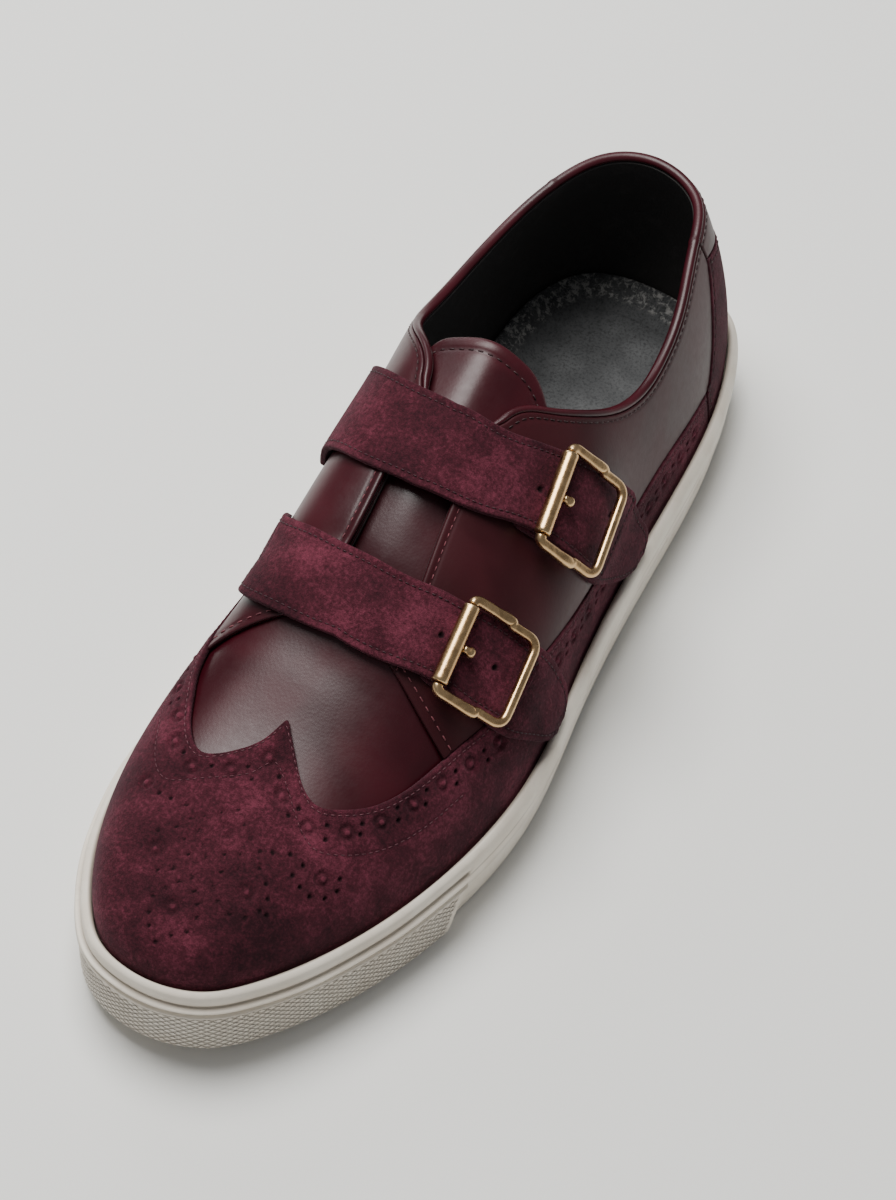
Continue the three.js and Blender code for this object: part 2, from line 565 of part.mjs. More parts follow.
function cupSole() {
  const turns = AROUND.flatMap((t) => {
    if (t === 0.7) return [BUMPER_START - 0.004, BUMPER_START, t];
    if (t === 1.3) return [t, 2 - BUMPER_START, 2 - BUMPER_START + 0.004];
    return [t];
  });
  const rings = turns.map((turn) => {
    const folded = turn > 1 ? 2 - turn : turn;
    const proud = folded >= BUMPER_START ? 1 : 0;
    const ring = WALL_PROFILE.map((row) => {
      const p = outlineAt(turn, mix(row.out, row.toe, proud) * WALL);
      const h = row.height;
      const lift = h < BOTTOM_ROWS ? undersideAt(p.y) : springAt(p.y) * (1 - 0.1 * h);
      return [p.x, p.y, h * WALL + lift];
    });
    // Inside of the lip follows the lean of the upper, then drops to the footbed
    const rise = BRIM * WALL - FOOT_LEVEL;
    const brim = outlineAt(turn, LIP - Math.max(leanOf.value(turn), 0) * rise);
    ring.push([brim.x, brim.y, BRIM * WALL + springAt(brim.y) * 0.9]);
    const inner = outlineAt(turn, LIP);
    ring.push([inner.x, inner.y, FOOT_LEVEL + springAt(inner.y)]);
    ring.push([inner.x, inner.y, seatAt(inner.y)]);
    return ring;
  });
  const count = rings.length;
  const depth = rings[0].length;
  const points = rings.flat();
  const faces = [];
  for (let i = 0; i < count; i++) {
    const k = (i + 1) % count;
    for (let j = 0; j < depth - 1; j++) {
      const a = i * depth + j;
      const b = k * depth + j;
      faces.push([a, b, b + 1], [a, b + 1, a + 1]);
    }
  }
  const half = count / 2;
  // Closing sheet between the two sides, row by row from heel to toe
  const sheet = (row, level, flip) => {
    const cols = 4;
    const lines = [];
    for (let i = 0; i <= half; i++) {
      const left = i * depth + row;
      if (i === 0 || i === half) {
        lines.push([left]);
        continue;
      }
      const right = (count - i) * depth + row;
      const line = [left];
      for (let c = 1; c < cols; c++) {
        const x = mix(points[left][0], points[right][0], c / cols);
        const y = mix(points[left][1], points[right][1], c / cols);
        points.push([x, y, level(y)]);
        line.push(points.length - 1);
      }
      line.push(right);
      lines.push(line);
    }
    for (let i = 0; i < half; i++) {
      const a = lines[i];
      const b = lines[i + 1];
      for (let c = 0; c < cols; c++) {
        const quad = [a[Math.min(c, a.length - 1)], b[Math.min(c, b.length - 1)],
          b[Math.min(c + 1, b.length - 1)], a[Math.min(c + 1, a.length - 1)]];
        const tris = [[quad[0], quad[1], quad[2]], [quad[0], quad[2], quad[3]]];
        tris.filter((t) => new Set(t).size === 3).forEach((t) => {
          faces.push(flip ? [t[0], t[2], t[1]] : t);
        });
      }
    }
  };
  sheet(0, undersideAt, true);
  sheet(depth - 1, seatAt, false);
  addMesh('cupsole', points, faces, OFF_WHITE, 0.62, 0);
}

// Insole with a raised rim round the heel. in: inward from its edge, share of INSOLE_RIM;
// level: share of INSOLE_THICK; rim: extra height at the heel, share of HEEL_CUP
const INSOLE_THICK = 4.2;
const INSOLE_RIM = 7.0;
const HEEL_CUP = 3.2;
const CUP_START = 0.3333;
const CUP_FULL = 0.2067;
const INSOLE_PROFILE = [
  { in: 0.086, level: 0.071, rim: 0 },
  { in: 0, level: 0.476, rim: 0 },
  { in: 0.029, level: 0.857, rim: 1 },
  { in: 0.343, level: 1, rim: 0.875 },
  { in: 1, level: 1, rim: 0.125 },
];

function insole() {
  const inset = FOOT_INSET - LINING_IN + 0.4;
  const points = [];
  const faces = [];
  const depth = INSOLE_PROFILE.length;
  AROUND.forEach((turn) => {
    INSOLE_PROFILE.forEach((row) => {
      const p = outlineAt(turn, inset + row.in * INSOLE_RIM);
      const raised = row.rim * HEEL_CUP * smooth(p.y, alongToY(CUP_START), alongToY(CUP_FULL));
      points.push([p.x, p.y, seatAt(p.y) + row.level * INSOLE_THICK + raised]);
    });
  });
  const count = AROUND.length;
  for (let i = 0; i < count; i++) {
    for (let j = 0; j < depth - 1; j++) {
      const a = i * depth + j;
      const b = ((i + 1) % count) * depth + j;
      faces.push([a, b, b + 1], [a, b + 1, a + 1]);
    }
  }
  const half = count / 2;
  [0, depth - 1].forEach((row, flip) => {
    for (let i = 0; i < half; i++) {
      const l0 = i * depth + row;
      const l1 = (i + 1) * depth + row;
      const r0 = ((count - i) % count) * depth + row;
      const r1 = (count - i - 1) * depth + row;
      const tris = [[l0, l1, r1], [l0, r1, r0]].filter((t) => new Set(t).size === 3);
      tris.forEach((t) => faces.push(flip ? t : [t[0], t[2], t[1]]));
    }
  });
  addMesh('insole', points, faces, CHARCOAL, 0.9, 0);
}

// Upper: one hollow shell, open at collar, throat and underneath
const BINDING = 0.03;
const panelEdge = (around, side) => collarEdge[side](around) + BINDING * (1 - smooth(around, 0.47, 0.5));
const THROAT_END = 0.66;

function upperShell() {
  const ROWS = [0, 0.12, 0.24, 0.36, 0.49, 0.64, 0.81, 1];
  const points = [];
  const index = new Map();
  const place = (p) => {
    const key = p.map((v) => v.toFixed(4)).join();
    if (!index.has(key)) {
      index.set(key, points.length);
      points.push(p);
    }
    return index.get(key);
  };
  const faces = [];
  const quad = (a, b, c, d) => {
    [[a, b, c], [a, c, d]].filter((t) => new Set(t).size === 3).forEach((t) => faces.push(t));
  };
  const columnAt = (turn, depth) => {
    const side = turn <= 1 ? 1 : -1;
    const around = turn <= 1 ? turn : 2 - turn;
    const edge = around < THROAT_END ? panelEdge(around, side) : 0;
    const foot = outlineAt(turn, FOOT_INSET - depth);
    const line = [place([foot.x, foot.y, seatAt(foot.y) + 0.3])];
    ROWS.forEach((r) => {
      const girth = mix(1, edge, r);
      const p = girth < 1e-6 ? over(around, 0, depth) : over(around, side * girth, depth);
      line.push(place(p));
    });
    return line;
  };
  const outer = AROUND.map((turn) => columnAt(turn, SHELL_OUT));
  const inner = AROUND.map((turn) => columnAt(turn, LINING_IN));
  const open = AROUND.map((turn) => Math.min(turn, 2 - turn) < THROAT_END);
  const count = AROUND.length;
  const top = ROWS.length;
  for (let i = 0; i < count; i++) {
    const k = (i + 1) % count;
    for (let j = 0; j < top; j++) {
      quad(outer[i][j], outer[k][j], outer[k][j + 1], outer[i][j + 1]);
      quad(inner[i][j], inner[i][j + 1], inner[k][j + 1], inner[k][j]);
    }
    quad(outer[i][0], inner[i][0], inner[k][0], outer[k][0]);
    if (open[i] || open[k]) quad(outer[i][top], outer[k][top], inner[k][top], inner[i][top]);
  }
  addMesh('upper', points, faces, PLUM_LEATHER, 0.42, 0);
}

// Tongue
function tongue() {
  const topAcross = [-0.3, -0.23, -0.17, -0.04, 0.18, 0.3, 0.37];
  const topEdge = cubic(topAcross, [0.432, 0.417, 0.412, 0.412, 0.406, 0.404, 0.41], null, null);
  const grid = steps(0, 1, 11).map((k) => steps(0, 1, 8).map((c) => {
    const across = mix(mix(-0.3, 0.37, c), mix(-0.27, 0.3, c), smooth(k, 0, 0.6));
    const around = mix(topEdge.value(mix(-0.3, 0.37, c)), 0.7, k);
    return { around, across };
  }));
  const crown = (p) => 1.6 * (1 - smooth(Math.abs(p.across), 0, 0.13)) * (1 - smooth(p.around, 0.55, 0.63))
    - 0.7 * smooth(p.around, 0.58, 0.64);
  panel('tongue', grid, (p) => TONGUE_IN + crown(p), (p) => TONGUE_OUT + crown(p), PLUM_LEATHER, 0.38);
}

// Toe piece with its wings
const wingTurn = (row) => (row.side > 0 ? row.foot : 2 - row.foot);
const wingEdge = WING.map((row) => ({ turn: wingTurn(row), map: toMap(row.around, row.girth, row.side) }));
const wingX = cubic(wingEdge.map((e) => e.turn), wingEdge.map((e) => e.map[0]), null, null);
const wingY = cubic(wingEdge.map((e) => e.turn), wingEdge.map((e) => e.map[1]), null, null);
const WING_REAR = 0.205;

function wingtip() {
  const turns = AROUND.filter((t) => t > WING_REAR && t < 2 - WING_REAR);
  turns.unshift(WING_REAR);
  turns.push(2 - WING_REAR);
  const DOWN = [0, 0.22, 0.42, 0.57, 0.69, 0.8, 0.9, 1];
  const grid = turns.map((turn) => {
    const foot = outlineAt(turn, FOOT_INSET);
    return DOWN.map((k) => fromMap(mix(wingX.value(turn), foot.x, k), mix(wingY.value(turn), foot.y, k)));
  });
  panel('wingtip', grid, () => SUEDE_IN, () => SUEDE_OUT, PLUM_SUEDE, 0.95);
}

// Girth of the wing edge at a station of one side, behind the toe
function wingGirth(around, side) {
  const rows = WING.filter((r) => r.side === side && r.around < 0.72 && r.foot < 0.76);
  const ordered = side > 0 ? rows : [...rows].reverse();
  return lookup(ordered, 'around', 'girth')(around);
}

// Quarters
// Coons patch between four edges given as functions of 0..1
function patch(topEdge, bottomEdge, startEdge, endEdge, across, down) {
  const c00 = topEdge(0);
  const c10 = topEdge(1);
  const c01 = bottomEdge(0);
  const c11 = bottomEdge(1);
  return across.map((s) => down.map((r) => {
    const blend = (name) => (1 - r) * topEdge(s)[name] + r * bottomEdge(s)[name]
      + (1 - s) * startEdge(r)[name] + s * endEdge(r)[name]
      - (1 - s) * (1 - r) * c00[name] - s * (1 - r) * c10[name] - (1 - s) * r * c01[name] - s * r * c11[name];
    return { around: blend('around'), across: blend('across') };
  }));
}

const SEAM = 0.0045;
const STEP_AROUND = 0.0014;
const counterFront = lookup(COUNTER_FRONT, 'girth', 'around');

function quarter(name, side, frontTable) {
  const front = cubic(frontTable.map((r) => r[0]), frontTable.map((r) => r[1]), null, null);
  const rearTop = COUNTER_FRONT[0].around + STEP_AROUND;
  const frontTop = front.value(frontTable[0][0]);
  const frontFoot = frontTable[frontTable.length - 1][1];
  const rearFoot = COUNTER_FRONT[COUNTER_FRONT.length - 1].around + STEP_AROUND;
  const top = (s) => {
    const around = mix(rearTop, frontTop, s);
    return { around, across: side * panelEdge(around, side) };
  };
  const bottom = (s) => {
    const around = mix(rearFoot, frontFoot, s);
    return { around, across: side * (wingGirth(around, side) - SEAM) };
  };
  const rear = (r) => {
    const girth = mix(Math.abs(top(0).across), Math.abs(bottom(0).across), r);
    const bound = girth > COUNTER_FRONT[0].girth ? counterFront(girth) + STEP_AROUND : rearTop;
    return { around: bound, across: side * girth };
  };
  const ahead = (r) => {
    const girth = mix(Math.abs(top(1).across), Math.abs(bottom(1).across), r);
    return { around: front.value(girth), across: side * girth };
  };
  const grid = patch(top, bottom, rear, ahead, steps(0, 1, 23), steps(0, 1, 6));
  panel(name, grid, () => QUARTER_IN, () => QUARTER_OUT, PLUM_LEATHER, 0.4);
}

// Heel
const tabLower = cubic([0, 0.06, 0.122], [0.625, 0.612, 0.565], 0, null);

function backTab() {
  const grid = steps(-0.122, 0.122, 12).map((a) => steps(0, 1, 2).map((r) => {
    const around = Math.abs(a);
    const side = a >= 0 ? 1 : -1;
    return { around, across: side * mix(panelEdge(around, side), tabLower.value(around), r) };
  }));
  panel('back_tab', grid, () => QUARTER_IN, () => QUARTER_OUT, PLUM_LEATHER, 0.4);
}

function heelCounter() {
  const lowest = WING_REAR - STEP_AROUND;
  const edgeAt = (girth) => (girth < COUNTER_FRONT[4].girth ? counterFront(girth) : lowest);
  const grid = steps(-1, 1, 16).map((k) => steps(0, 1, 6).map((r) => {
    const share = Math.abs(k);
    const side = k >= 0 ? 1 : -1;
    const upperAround = share * COUNTER_FRONT[0].around;
    const start = tabLower.value(upperAround) + SEAM;
    const girth = mix(start, 1, r);
    return { around: Math.min(share * edgeAt(girth), lowest), across: side * girth };
  }));
  panel('heel_counter', grid, () => SUEDE_IN, () => SUEDE_OUT, PLUM_SUEDE, 0.95);
}

// Tubes along a path
function tube(name, path, ring, closed, color, roughness, metalness) {
  const points = path.flatMap((station, i) => ring(station, i));
  const size = ring(path[0], 0).length;
  const faces = [];
  const count = path.length;
  for (let i = 0; i < (closed ? count : count - 1); i++) {
    for (let j = 0; j < size; j++) {
      const k = (i + 1) % count;
      const m = (j + 1) % size;
      faces.push([i * size + j, k * size + j, k * size + m], [i * size + j, k * size + m, i * size + m]);
    }
  }
  if (!closed) {
    for (let j = 1; j < size - 1; j++) {
      const end = (count - 1) * size;
      faces.push([0, j, j + 1], [end, end + j + 1, end + j]);
    }
  }
  addMesh(name, points, faces, color, roughness, metalness);
}

// Rolled binding on the edge of the collar, ending under the upper strap
function collarBinding() {
  const halfPath = [0, 0.02, 0.04, 0.06, 0.08, 0.1, 0.125, 0.15, 0.175, 0.2, 0.225, 0.25, 0.275, 0.3, 0.32,
    0.34, 0.36, 0.38, 0.4, 0.415, 0.43, 0.445, 0.46, 0.475];
  const path = [...halfPath.slice(1).reverse().map((a) => ({ around: a, side: -1 })),
    ...halfPath.map((a) => ({ around: a, side: 1 }))];
  const ring = (p) => {
    const edge = panelEdge(p.around, p.side);
    const at = (depth) => over(p.around, p.side * edge, depth);
    const middle = at(-1.65);
    const n = unit(sub(at(1), at(0)));
    const next = Math.min(p.around + 0.01, 0.48);
    const before = Math.max(p.around - 0.01, 0);
    const edgePoint = (t) => over(t, p.side * panelEdge(t, p.side), 0);
    const forward = sub(edgePoint(next), edgePoint(before));
    let up = unit(cross(forward, n));
    if (up[2] < 0) up = up.map((v) => -v);
    const halfWide = 1.75;
    const halfTall = 1.3;
    return Array.from({ length: 7 }, (_, j) => {
      const t = (j + 0.25) / 7 * 2 * Math.PI;
      const a = Math.cos(t) * halfWide;
      const b = Math.sin(t) * halfTall + halfTall + 0.35;
      return [0, 1, 2].map((i) => middle[i] + n[i] * a + up[i] * b);
    });
  };
  tube('collar_binding', path, ring, false, PLUM_LEATHER, 0.36, 0);
}

// Straps and chapes
function strip(name, table, start, end, count, rounding, low, thick, color) {
  const rear = lookup(table, 'across', 'rear');
  const front = lookup(table, 'across', 'front');
  const grid = steps(start, end, count).map((across) => {
    const near = Math.min(Math.abs(across - start), Math.abs(across - end));
    const k = clamp(1 - near / 0.04, 0, 1);
    const inset = rounding * (1 - Math.sqrt(1 - k * k * 0.9));
    const bounds = [rear(across) + inset, front(across) - inset];
    return steps(0, 1, 4).map((c) => ({ around: mix(bounds[0], bounds[1], c), across }));
  });
  panel(name, grid, low, (p) => low(p) + thick, color, 0.95);
}
const climb = (from, to, onto) => (p) => mix(STRAP_LOW, STRAP_HIGH, smooth(p.across, from, to))
  + (CHAPE_HIGH - CHAPE_LOW) * smooth(p.across, onto - 0.1, onto);
const onWing = (from, to) => (p) => mix(CHAPE_LOW, CHAPE_HIGH, smooth(p.across, from, to));

// Buckles
function buckle(suffix, place) {
  const rollerDepth = STRAP_HIGH + STRAP_THICK + 0.3 + ROLLER_RADIUS;
  const barDepth = STRAP_HIGH + STRAP_THICK + place.lift + BAR_RADIUS;
  const a = over(place.roller[0].around, place.roller[0].across, rollerDepth);
  const b = over(place.roller[1].around, place.roller[1].across, rollerDepth);
  const c = over(place.outer[0].around, place.outer[0].across, barDepth);
  const d = over(place.outer[1].around, place.outer[1].across, barDepth);
  const middle = a.map((v, i) => (v + b[i]) / 2);
  const far = c.map((v, i) => (v + d[i]) / 2);
  const e2 = unit(sub(b, a));
  const reach = sub(far, middle);
  const slip = reach[0] * e2[0] + reach[1] * e2[1] + reach[2] * e2[2];
  const straight = reach.map((v, i) => v - slip * e2[i]);
  const long = Math.hypot(...straight);
  const e1 = unit(straight);
  let e3 = cross(e1, e2);
  if (e3[0] < 0) e3 = e3.map((v) => -v);
  const spot = (u, v, w) => [0, 1, 2].map((i) => middle[i] + e1[i] * u + e2[i] * v + e3[i] * w);
  const half = Math.hypot(...sub(b, a)) / 2 + 1;

  const disc = (radius, sides) => (p) => Array.from({ length: sides }, (_, j) => {
    const t = j / sides * 2 * Math.PI;
    return spot(radius * Math.cos(t), p, radius * Math.sin(t));
  });
  const rollerEnds = [-half + 0.4, half - 0.4];
  tube(`buckle_roller_${suffix}`, rollerEnds, disc(ROLLER_RADIUS, 12), false, ANTIQUE_BRASS, 0.32, 0.9);

  // Frame: ends beside the roller, side bars with a step, round corners at the outer bar
  const wide = half + 1.8;
  const slim = half + 1.0;
  const corner = 4.0;
  const line = [];
  const bend = (u0, v0, u1, v1, u2, v2, n) => steps(0, 1, n).forEach((t) => {
    const [a0, a1, a2] = [(1 - t) ** 2, 2 * t * (1 - t), t * t];
    line.push([a0 * u0 + a1 * u1 + a2 * u2, a0 * v0 + a1 * v1 + a2 * v2]);
  });
  bend(0, -half - 0.1, 0, -wide, 2.2, -wide, 3);
  line.push([long * 0.55, -wide]);
  line.push([long * 0.55 + 1.6, -slim]);
  bend(long - corner, -slim, long, -slim, long, -slim + corner, 3);
  const mirrored = [...line].reverse().map(([u, v]) => [u, -v]);
  const path = [...line, ...mirrored];
  const ring = (p, i) => {
    const before = path[Math.max(i - 1, 0)];
    const after = path[Math.min(i + 1, path.length - 1)];
    const size = Math.hypot(after[0] - before[0], after[1] - before[1]);
    const nu = -(after[1] - before[1]) / size;
    const nv = (after[0] - before[0]) / size;
    return Array.from({ length: 6 }, (_, j) => {
      const t = (j + 0.5) / 6 * 2 * Math.PI;
      const r = BAR_RADIUS * Math.cos(t);
      return spot(p[0] + nu * r, p[1] + nv * r, BAR_RADIUS * Math.sin(t));
    });
  };
  tube(`buckle_frame_${suffix}`, path, ring, false, ANTIQUE_BRASS, 0.32, 0.9);

  // Short prong with a round tip, standing in the middle hole of the strap
  const PRONG = [[2.75, 0.95], [3.9, 0.95], [4.3, 1.45], [5.2, 1.65], [6.1, 1.4], [6.7, 0.7]];
  const pin = (p) => Array.from({ length: 8 }, (_, j) => {
    const t = j / 8 * 2 * Math.PI;
    return spot(p[0], p[1] * Math.cos(t), PRONG_RISE + p[1] * Math.sin(t));
  });
  tube(`buckle_prong_${suffix}`, PRONG, pin, false, ANTIQUE_BRASS, 0.32, 0.9);
}

cupSole();
insole();
upperShell();
tongue();
wingtip();
quarter('quarter_lateral', 1, [[0.208, 0.669], [0.37, 0.668], [0.548, 0.661]]);
quarter('quarter_medial', -1, [[0.183, 0.677], [0.35, 0.677], [0.535, 0.67]]);
backTab();
heelCounter();
collarBinding();
strip('strap_upper', STRAP_UPPER, -0.64, 0.72, 24, 0.012, climb(0.22, 0.36, 0.75), STRAP_THICK, PLUM_SUEDE);
strip('strap_lower', STRAP_LOWER, -0.64, 0.65, 24, 0.012, climb(0.15, 0.29, 0.6), STRAP_THICK, PLUM_SUEDE);
strip('chape_upper', CHAPE_UPPER, 0.38, 0.925, 9, 0.004, onWing(0.66, 0.76), CHAPE_THICK, PLUM_SUEDE);
strip('chape_lower', CHAPE_LOWER, 0.31, 0.905, 9, 0.004, onWing(0.52, 0.66), CHAPE_THICK, PLUM_SUEDE);
buckle('upper', BUCKLES.upper);
buckle('lower', BUCKLES.lower);

export default group;
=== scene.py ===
import math

import bpy
import numpy as np
from mathutils import Euler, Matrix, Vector

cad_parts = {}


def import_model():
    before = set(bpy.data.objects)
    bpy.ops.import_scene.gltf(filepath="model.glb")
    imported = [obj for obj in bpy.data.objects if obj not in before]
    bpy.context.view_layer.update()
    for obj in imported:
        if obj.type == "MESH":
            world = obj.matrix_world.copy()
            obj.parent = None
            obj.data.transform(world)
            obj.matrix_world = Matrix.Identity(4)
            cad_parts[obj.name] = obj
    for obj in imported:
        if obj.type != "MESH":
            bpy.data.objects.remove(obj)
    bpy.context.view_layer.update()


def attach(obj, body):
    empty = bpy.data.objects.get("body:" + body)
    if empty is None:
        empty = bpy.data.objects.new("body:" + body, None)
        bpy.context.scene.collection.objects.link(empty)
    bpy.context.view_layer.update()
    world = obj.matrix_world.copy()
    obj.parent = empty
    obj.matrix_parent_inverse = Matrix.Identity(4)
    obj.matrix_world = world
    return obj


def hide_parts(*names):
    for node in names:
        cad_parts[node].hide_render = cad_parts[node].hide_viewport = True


# Looks of a low double monk strap shoe, left foot. Tables and depths are in millimetres
# or shares of the named sizes, as in the construction; meshes are written in metres.
# Toe toward -Y, heel toward +Y, lateral side toward +X, floor at z = 0.

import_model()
MM = 0.001

# Driving sizes
LENGTH = 300.0
HEEL_BACK = 42.0
BALL_WIDTH = 104.0
LAST_HEIGHT = 112.0
WALL = 26.0
TOE_SPRING = 6.2
LIP = 3.2
FOOT_LEVEL = 22.0
FOOT_INSET = 4.0
SEAT = 13.0
BALL_SEAT = 10.0
ROLLER_RADIUS = 2.3
BAR_RADIUS = 1.45
PRONG_RISE = 0.55

# Depths of the layers, from the outer face of the upper
LINING_IN = -3.5
LINING_OUT = -2.7
SHELL_OUT = -1.85
QUARTER_IN = -1.2
QUARTER_OUT = -0.1
SUEDE_IN = -1.2
SUEDE_OUT = 0.4
TONGUE_IN = -6.3
TONGUE_OUT = -4.5
STRAP_LOW = 0.2
STRAP_HIGH = 1.6
STRAP_THICK = 1.8
CHAPE_LOW = 0.2
CHAPE_HIGH = 0.75
CHAPE_THICK = 1.5

# Stations run from the middle of the heel (0) to the tip of the toe (1) on both sides.

# around, along (share of LENGTH), lateral and medial (shares of BALL_WIDTH)
OUTLINE = [
    (0.0, 0.0, 0.0, 0.0), (0.06, 0.02, 0.25, 0.216), (0.12, 0.075, 0.358, 0.327),
    (0.22, 0.18, 0.423, 0.37), (0.34, 0.33, 0.438, 0.365), (0.46, 0.49, 0.462, 0.38),
    (0.58, 0.64, 0.498, 0.438), (0.69, 0.77, 0.431, 0.489), (0.8, 0.88, 0.303, 0.444),
    (0.9, 0.96, 0.147, 0.332), (0.955, 0.99, 0.038, 0.231), (1.0, 1.0, -0.096, 0.096),
]

# Comb of the last: along (share of LENGTH), side (share of BALL_WIDTH), height (share of LAST_HEIGHT)
COMB = [
    (0.12, 0.0, 1.0), (0.18, -0.01, 1.0), (0.24, -0.024, 0.987), (0.307, -0.038, 0.951),
    (0.373, -0.043, 0.902), (0.43, -0.043, 0.857), (0.51, -0.043, 0.786), (0.56, -0.048, 0.732),
    (0.62, -0.053, 0.67), (0.68, -0.062, 0.598), (0.74, -0.077, 0.527), (0.8, -0.091, 0.473),
    (0.86, -0.106, 0.438), (0.9, -0.111, 0.411),
]

# Where each station meets the comb: around, along (share of LENGTH)
MEETING = [
    (0.0, 0.123), (0.06, 0.13), (0.12, 0.157), (0.22, 0.227), (0.3, 0.283), (0.36, 0.33), (0.43, 0.39),
    (0.46, 0.417), (0.52, 0.48), (0.58, 0.553), (0.64, 0.623), (0.69, 0.673), (0.75, 0.723), (0.8, 0.76),
    (0.9, 0.807), (1.0, 0.827),
]

# Fullness: around, lean (lateral, medial), wall and shoulder pulls (shares of LAST_HEIGHT, lateral, medial)
FULLNESS = [
    (0.0, 0.08, 0.08, 0.268, 0.268, 0.205, 0.205), (0.06, 0.04, 0.06, 0.268, 0.268, 0.188, 0.196),
    (0.12, -0.02, 0.06, 0.268, 0.268, 0.179, 0.214), (0.22, -0.06, 0.08, 0.268, 0.286, 0.196, 0.295),
    (0.3, -0.06, 0.13, 0.259, 0.304, 0.196, 0.33), (0.36, -0.06, 0.14, 0.25, 0.321, 0.179, 0.339),
    (0.43, -0.06, 0.12, 0.25, 0.339, 0.17, 0.312), (0.52, -0.04, 0.09, 0.232, 0.357, 0.179, 0.286),
    (0.58, 0.02, 0.06, 0.196, 0.312, 0.214, 0.259), (0.64, 0.1, 0.1, 0.161, 0.232, 0.241, 0.25),
    (0.69, 0.16, 0.16, 0.143, 0.179, 0.25, 0.259), (0.75, 0.18, 0.18, 0.134, 0.161, 0.25, 0.268),
    (0.8, 0.18, 0.18, 0.134, 0.152, 0.25, 0.286), (0.9, 0.18, 0.18, 0.143, 0.152, 0.268, 0.304),
    (1.0, 0.18, 0.18, 0.152, 0.152, 0.286, 0.286),
]

# Collar and facing edge: around, girth on the lateral and on the medial side
TOPLINE = [
    (0.0, 0.446, 0.446), (0.06, 0.453, 0.453), (0.12, 0.473, 0.473), (0.16, 0.5, 0.496),
    (0.2, 0.536, 0.514), (0.25, 0.562, 0.518), (0.3, 0.558, 0.5), (0.35, 0.49, 0.438),
    (0.39, 0.396, 0.34), (0.42, 0.312, 0.246), (0.45, 0.222, 0.166), (0.48, 0.172, 0.128),
    (0.52, 0.152, 0.122), (0.57, 0.155, 0.12), (0.62, 0.182, 0.125), (0.67, 0.208, 0.183),
]

# Upper edge of the suede wing: side, around, girth, station on the sole that it runs down to
WING = [
    (1, 0.205, 0.86, 0.205), (1, 0.25, 0.838, 0.25), (1, 0.303, 0.815, 0.303), (1, 0.36, 0.805, 0.36),
    (1, 0.43, 0.775, 0.43), (1, 0.5, 0.725, 0.5), (1, 0.56, 0.664, 0.56), (1, 0.62, 0.602, 0.622),
    (1, 0.642, 0.571, 0.652), (1, 0.679, 0.533, 0.695), (1, 0.716, 0.494, 0.742), (1, 0.751, 0.434, 0.79),
    (1, 0.782, 0.354, 0.832), (1, 0.805, 0.27, 0.868), (1, 0.81, 0.178, 0.902), (1, 0.802, 0.11, 0.932),
    (1, 0.789, 0.036, 0.96), (1, 0.786, 0.004, 0.985), (-1, 0.811, 0.018, 0.99),
    (-1, 0.831, 0.068, 0.962), (-1, 0.834, 0.155, 0.925), (-1, 0.815, 0.238, 0.885),
    (-1, 0.77, 0.347, 0.83), (-1, 0.733, 0.42, 0.775), (-1, 0.695, 0.5, 0.722), (-1, 0.655, 0.572, 0.672),
    (-1, 0.6, 0.65, 0.608), (-1, 0.54, 0.715, 0.545), (-1, 0.47, 0.77, 0.47), (-1, 0.4, 0.805, 0.4),
    (-1, 0.33, 0.822, 0.33), (-1, 0.26, 0.84, 0.26), (-1, 0.205, 0.86, 0.205),
]

# Front edge of the heel counter: around, girth
COUNTER_FRONT = [
    (0.124, 0.575), (0.133, 0.62), (0.152, 0.7), (0.174, 0.785), (0.197, 0.858),
]

# Straps and chapes: across (signed girth, medial negative), stations of rear and front edge
STRAP_UPPER = [
    (-0.64, 0.378, 0.484), (-0.47, 0.419, 0.513), (-0.22, 0.477, 0.553), (-0.08, 0.491, 0.561),
    (0.05, 0.492, 0.56), (0.18, 0.485, 0.552), (0.3, 0.464, 0.535), (0.42, 0.433, 0.51),
    (0.55, 0.4, 0.485), (0.7, 0.366, 0.456),
]
STRAP_LOWER = [
    (-0.64, 0.53, 0.596), (-0.53, 0.559, 0.624), (-0.28, 0.602, 0.669), (-0.12, 0.617, 0.686),
    (0.0, 0.619, 0.689), (0.12, 0.614, 0.68), (0.23, 0.603, 0.665), (0.34, 0.59, 0.648),
    (0.46, 0.572, 0.633), (0.62, 0.549, 0.608),
]
CHAPE_UPPER = [
    (0.37, 0.446, 0.522), (0.5, 0.411, 0.497), (0.62, 0.382, 0.474), (0.74, 0.362, 0.447),
    (0.83, 0.354, 0.418), (0.9, 0.353, 0.392), (0.925, 0.36, 0.38),
]
CHAPE_LOWER = [
    (0.3, 0.595, 0.656), (0.44, 0.574, 0.637), (0.58, 0.55, 0.617), (0.7, 0.528, 0.598),
    (0.8, 0.514, 0.574), (0.88, 0.515, 0.552), (0.905, 0.522, 0.542),
]

# Buckles: (around, across) of the ends of roller and outer bar, and lift of the outer bar
BUCKLES = {
    "upper": {
        "lift": 2.0,
        "roller": [(0.441, 0.410), (0.507, 0.440)],
        "outer": [(0.404, 0.592), (0.474, 0.639)],
    },
    "lower": {
        "lift": 1.5,
        "roller": [(0.594, 0.338), (0.645, 0.358)],
        "outer": [(0.548, 0.590), (0.615, 0.600)],
    },
}


# Splines

